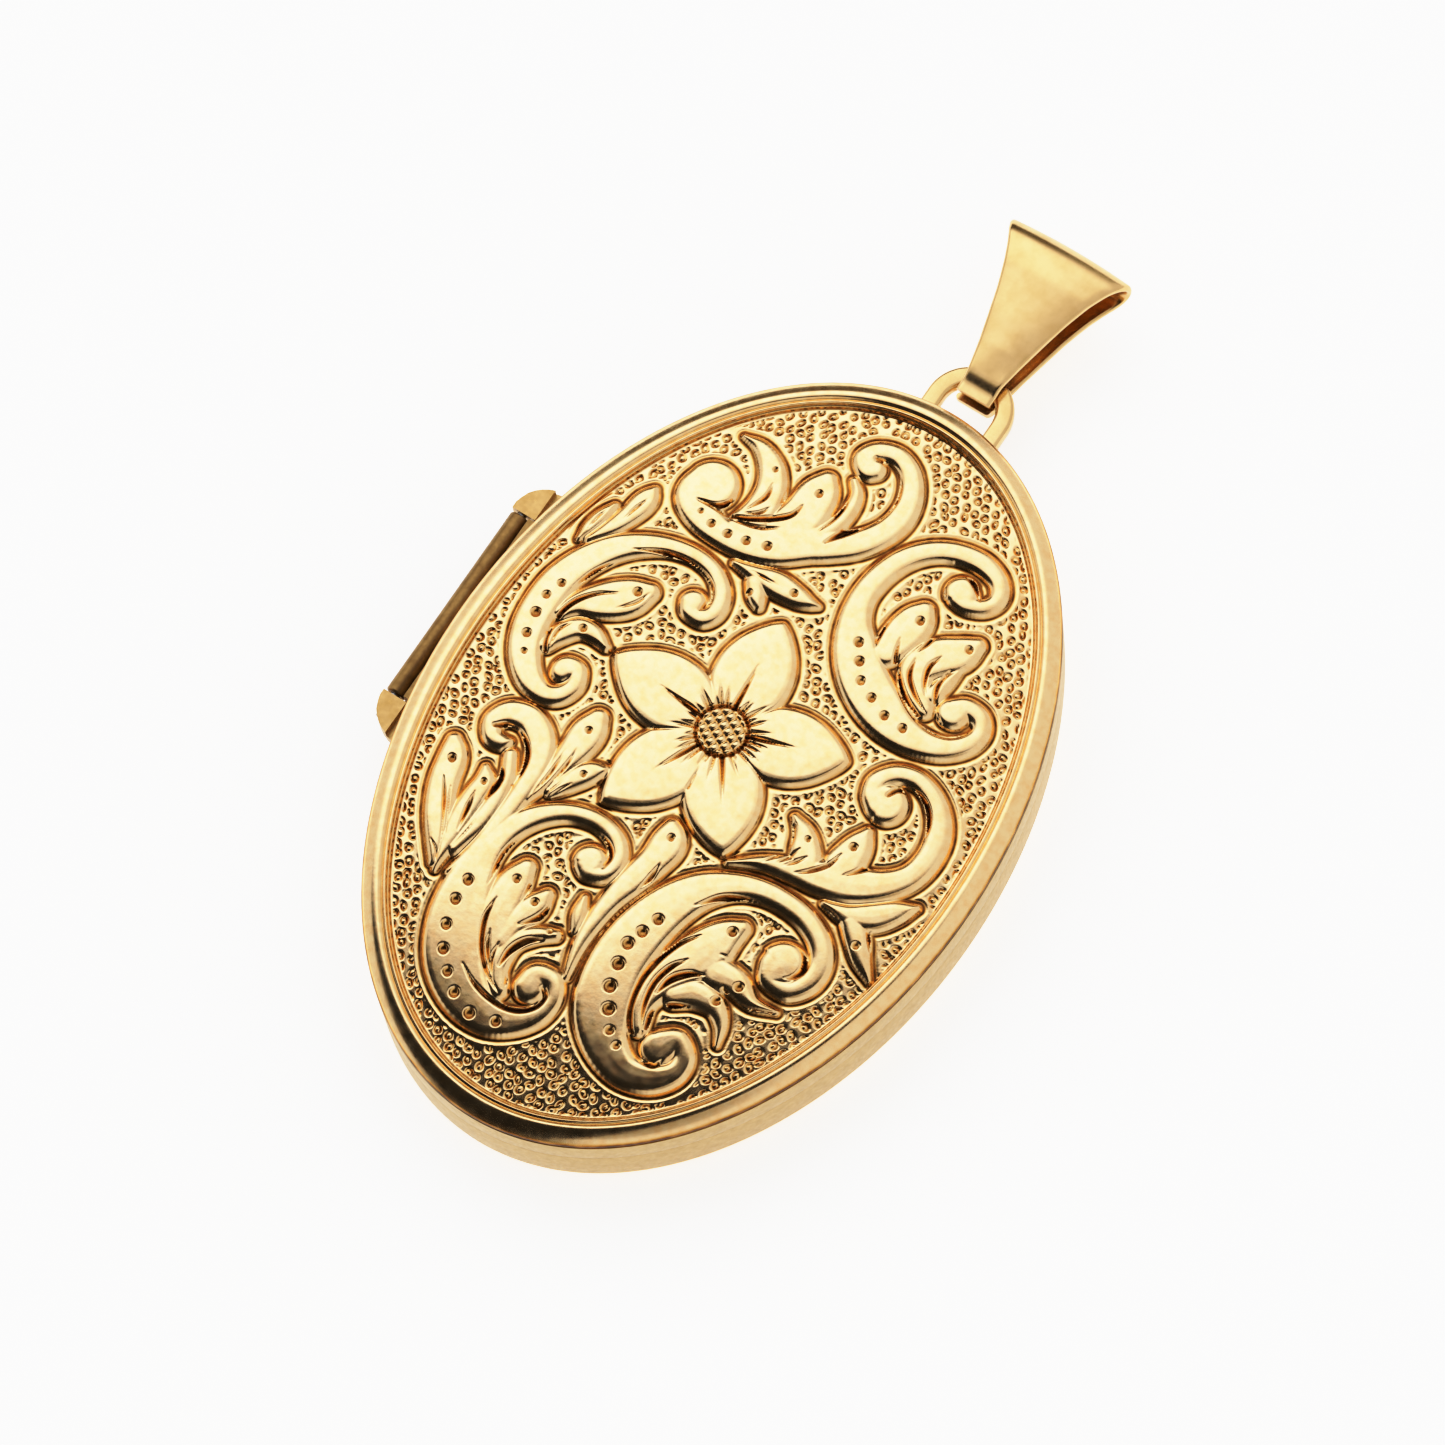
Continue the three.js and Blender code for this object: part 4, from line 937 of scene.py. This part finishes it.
def hinge_knuckle():
    """The long rolled knuckle of the front half, with the seam of its roll."""
    low, high = node_box("hinge_knuckle")
    centre = (low + high) / 2
    outer, bore, end = (high[2] - low[2]) / 2, 0.23, 0.06
    profile = [(bore, low[1]), (outer - end, low[1]), (outer, low[1] + end), (outer, high[1] - end),
               (outer - end, high[1]), (bore, high[1])]
    angle = np.linspace(0, 2 * math.pi, 64, endpoint=False)
    seam_at, seam_half, seam_depth = math.radians(215), 0.07, 0.05
    seam = seam_depth * np.exp(-(((angle - seam_at) / seam_half) ** 2))
    rows = []
    for radius, y in rounded(profile, 0.03, 2):
        r = radius - seam * (radius > 0.8 * outer)
        x, z = centre[0] + r * np.cos(angle), centre[2] + r * np.sin(angle)
        rows.append(np.stack([x, np.full(len(angle), y), z], -1))
    obj = add_object("hinge_knuckle_rolled", *tube_mesh(rows, closed=True))
    dress(obj, HINGE_GOLD, "satin_gold", "front_half", "hinge_knuckle")


def soften_cad_node(name, material, width):
    """Keeps a CAD node, with its edges eased and a finished material."""
    obj = frame["nodes"][name]
    obj.data.materials.clear()
    obj.data.materials.append(material)
    bevel = obj.modifiers.new("eased_edges", "BEVEL")
    bevel.width = width * MM
    bevel.segments = 3
    bevel.limit_method = "ANGLE"
    bevel.angle_limit = math.radians(40)


# ---- ring and bail


def ring_section(width, thickness, corner):
    """Rounded rectangle, out along the first axis and up along the second."""
    w, t = width / 2, thickness / 2
    return rounded([(-w, -t), (w, -t), (w, t), (-w, t)], corner, 5)


def oval_y(x):
    """Half length of the case at x."""
    return HALF_LENGTH * math.sqrt(1 - (x / HALF_WIDTH) ** 2)


RING_HOLE, RING_THICKNESS, RING_CORNER = 1.17, 0.7, 0.2  # radius of the hole, and the band's section


def bail_ring():
    """A flat half ring with straight legs that meet the side of the case."""
    low, high = node_box("bail_ring")
    outer = (high[0] - low[0]) / 2
    middle, width = (outer + RING_HOLE) / 2, outer - RING_HOLE
    centre_y, z = high[1] - outer, (low[2] + high[2]) / 2
    foot = oval_y(middle) + 0.3
    path = [(middle, y, 0.0) for y in np.linspace(foot, centre_y, 5)[:-1]]
    for a in np.linspace(0, math.pi, 40):
        path.append((middle * math.cos(a), centre_y + middle * math.sin(a), a))
    path += [(-middle, y, math.pi) for y in np.linspace(centre_y, foot, 5)[1:]]
    section = ring_section(width, RING_THICKNESS, RING_CORNER)
    rows = []
    for x, y, turn in path:
        out = np.array([math.cos(turn), math.sin(turn), 0])
        rows.append([np.array([x, y, z]) + a * out + [0, 0, b] for a, b in section])
    for end, row in ((0, rows[0]), (len(rows), rows[-1])):
        rows.insert(end, [np.array([p[0], oval_y(p[0]) + 0.01, p[2]]) for p in row])
    obj = add_object("bail_ring_rounded", *tube_mesh(rows, closed=False))
    dress(obj, SATIN, "satin_gold", "back_half", "bail_ring")


BAIL_SHEET = 0.33
BAIL_CROWN = 0.14
BAIL_OUTLINE = [  # (up from the swing axis, half width)
    (-1.5, 0.84), (0.0, 0.87), (1.2, 1.12), (2.4, 1.42), (3.7, 1.76), (4.9, 2.16), (5.7, 2.5),
    (6.3, 2.82), (6.75, 3.04), (6.9, 3.1),
]
# Sides of the bail's strip as (up, out) from the swing axis, and the fold that joins them.
BAIL_FRONT = [(-0.95, 0.67), (-0.5, 0.69), (0.04, 0.93), (2.8, 1.32), (5.0, 1.56)]
BAIL_BACK = [(4.4, -0.56), (1.6, -0.84), (0.1, -0.89), (-0.6, -0.78), (-0.98, -0.35), (-0.96, 0.06)]
FOLD_CENTRE, FOLD_RADIUS = np.array([5.88, 0.55]), 1.0


def bail_line():
    """Middle line of the bail's strip: tab, front leaf, fold, back leaf and curl."""
    front = rounded(BAIL_FRONT, 0.12, 5, closed=False)
    angles = np.radians(np.linspace(88, -86, 30))
    fold = [FOLD_CENTRE + FOLD_RADIUS * np.array([math.cos(a), math.sin(a)]) for a in angles]
    back = rounded(BAIL_BACK, 0.4, 5, closed=False)
    return fine_line(np.array(front + fold + back), 0.09)


def fine_line(points, step):
    """The same line with evenly spaced points, its corners eased by two smoothings."""
    length = np.concatenate([[0], np.cumsum(np.linalg.norm(np.diff(points, axis=0), axis=1))])
    at = np.linspace(0, length[-1], round(length[-1] / step))
    line = np.stack([np.interp(at, length, points[:, k]) for k in (0, 1)], -1)
    for _ in range(2):
        ease(line)
    return line


def bail():
    """A tapered strip with rounded edges and a slightly crowned face, folded over at the top."""
    _, axis_y, axis_z = joint_place("bail_swings")
    line = bail_line()
    along = np.gradient(line, axis=0)
    along /= np.linalg.norm(along, axis=1)[:, None]
    across = np.stack([-along[:, 1], along[:, 0]], -1)
    outline = np.array(BAIL_OUTLINE)
    half = np.interp(line[:, 0], outline[:, 0], outline[:, 1])
    for _ in range(6):
        ease(half)
    angle = np.linspace(-math.pi / 2, math.pi / 2, 9)
    t = BAIL_SHEET / 2
    rows = []
    for (up, out), (nu, no), w in zip(line, across, half):
        crown = BAIL_CROWN * np.clip((up - 0.2) / 1.2, 0, 1)
        right = [(w - t + t * math.cos(a), t * math.sin(a)) for a in angle]
        top = [(x, t) for x in np.linspace(w - t, t - w, 17)[1:-1]]
        left = [(-x, -z) for x, z in right]
        bottom = [(-x, -z) for x, z in top]
        row = []
        for x, z in right + top + left + bottom:
            lift = z + crown * (0.6 - (x / w) ** 2)
            row.append([x, axis_y + up + nu * lift, axis_z + out + no * lift])
        rows.append(row)
    obj = add_object("bail_folded", *tube_mesh(rows, closed=False))
    dress(obj, SATIN, "satin_gold", "bail", "bail")


def joint_place(name):
    """Where a joint lies, in millimetres."""
    return next(np.array(joint["pos_m"]) / MM for joint in frame["joints"] if joint["name"] == name)


front_plate()
side_band("front_band", "front_half")
side_band("back_band", "back_half")
back_plate()
snap_lip()
bezels()
picture_frame("back_picture_frame", "back_half", 1.38, 1)
picture_frame("front_picture_frame", "front_half", 1.63, -1)
window_and_card("back", 1.4)
window_and_card("front", 1.63)
hinge_knuckle()
for node_name in ("hinge_ear_upper", "hinge_ear_lower"):
    soften_cad_node(node_name, EAR_GOLD, 0.12)
for node_name in ("back_hinge_bearer", "front_hinge_bearer"):
    soften_cad_node(node_name, HINGE_GOLD, 0.03)
soften_cad_node("hinge_pin", STEEL, 0.05)
bail_ring()
bail()

# ---- stage, lights and camera

SKY = (0.90, 0.90, 0.88)
SKY_PATCHES = [  # (direction, inner angle, outer angle, colour), later ones over earlier ones
    ((-0.50, 0.42, 0.76), 4, 41, (1.8, 1.8, 1.8)),
    ((-0.60, 0.78, 0.02), 22, 40, (0.12, 0.11, 0.08)),
    ((0.42, -0.42, 0.80), 4, 22, (0.42, 0.40, 0.36)),
    ((-0.12, -0.93, 0.30), 14, 34, (0.05, 0.04, 0.03)),
]
TONE = [  # how the finished picture holds its light: (scene light, shown light), with a soft shoulder
    (0.0, 0.0), (0.1, 0.06), (0.2, 0.15), (0.45, 0.40), (0.7, 0.66), (1.0, 0.87), (1.5, 0.97),
    (2.2, 1.0),
]
FLAG = {"x": (-95, 30), "y": (-130, 22), "z": 62}  # a black flag that hangs over the lower end
FLAG_WAY = (0.3, -0.95)  # it grows denser this way, from the first to the second of the distances below
FLAG_FADE = (-7, 2)
LENS = 204.3
CAMERA_PLACE = (82.05, -83.77, 324.87 + GROUND_Z)
CAMERA_RIGHT = (0.8312, 0.5520, -0.0663)
CAMERA_FORWARD = (-0.2387, 0.2466, -0.9393)


def camera():
    """A long lens in front of the locket, a little to the right and below, turned so that the
    locket leans to the right in the frame."""
    data = bpy.data.cameras.new("camera")
    data.lens = LENS
    data.sensor_width = 36.0
    data.clip_start = 0.01
    data.clip_end = 20.0
    obj = bpy.data.objects.new("camera", data)
    bpy.context.scene.collection.objects.link(obj)
    right = Vector(CAMERA_RIGHT).normalized()
    forward = Vector(CAMERA_FORWARD).normalized()
    up = right.cross(forward).normalized()
    right = forward.cross(up).normalized()
    turn = Matrix((right, up, -forward)).transposed().to_4x4()
    obj.matrix_world = Matrix.Translation(Vector(CAMERA_PLACE) * MM) @ turn
    bpy.context.scene.camera = obj


def flat_sheet(name, x, y, z):
    """A level rectangle between two x and two y values."""
    corners = [(x[0], y[0], z), (x[1], y[0], z), (x[1], y[1], z), (x[0], y[1], z)]
    obj = add_object(name, corners, [(0, 1, 2, 3)], smooth=False)
    return obj


def black_flag():
    """A matt black sheet that only reflections see, as a jeweller's photographer hangs one."""
    obj = flat_sheet("black_flag", FLAG["x"], FLAG["y"], FLAG["z"])
    n = Nodes("black_flag")
    along = n.dot("Object", (*FLAG_WAY, 0))
    density = n.ramp(along, FLAG_FADE[0] * MM, FLAG_FADE[1] * MM)
    black = (0.012, 0.011, 0.01, 1)
    n.surface(Base_Color=black, Roughness=1.0, Specular_IOR_Level=0.0, Alpha=density)
    obj.data.materials.append(n.material)
    obj.visible_camera = False
    obj.visible_shadow = False
    obj.visible_diffuse = False


def floor():
    """A white table that glows faintly, as one lit from all sides does."""
    obj = flat_sheet("floor", (-2000, 2000), (-2000, 2000), -0.02)
    n = Nodes("floor")
    n.surface(Base_Color=(0.95, 0.95, 0.95, 1), Roughness=0.9)
    n.surface(Emission_Color=(1, 1, 1, 1), Emission_Strength=0.6)
    obj.data.materials.append(n.material)


def sky_patch(n, direction, inner, outer):
    """One inside a soft-edged round patch of sky, zero outside it; the angles are in degrees."""
    toward = n.dot("Generated", Vector(direction).normalized())
    low, high = math.cos(math.radians(outer)), math.cos(math.radians(inner))
    inputs = {"Value": toward, "From Min": low, "From Max": high}
    return n.node("ShaderNodeMapRange", inputs, interpolation_type="SMOOTHSTEP").outputs["Result"]


def set_tone(view):
    """Standard colours with a photographic tone curve over them."""
    view.view_transform = "Standard"
    view.use_curve_mapping = True
    top = TONE[-1][0]
    view.curve_mapping.white_level = (top, top, top)
    curve = view.curve_mapping.curves[3]
    while len(curve.points) < len(TONE):
        curve.points.new(0.5, 0.5)
    for point, (light, shown) in zip(curve.points, TONE):
        point.location = (light / top, shown)
    view.curve_mapping.update()


def studio():
    """Even white surroundings with the bright soft box and the darker places of SKY_PATCHES."""
    scene = bpy.context.scene
    set_tone(scene.view_settings)
    world = bpy.data.worlds.new("studio")
    scene.world = world
    world.use_nodes = True
    n = Nodes.over(world.node_tree)
    colour = (*SKY, 1)
    for direction, inner, outer, shade in SKY_PATCHES:
        colour = colour_mix(n, sky_patch(n, direction, inner, outer), colour, (*shade, 1))
    n.put(world.node_tree.nodes["Background"].inputs["Color"], colour)


camera()
studio()
floor()
black_flag()
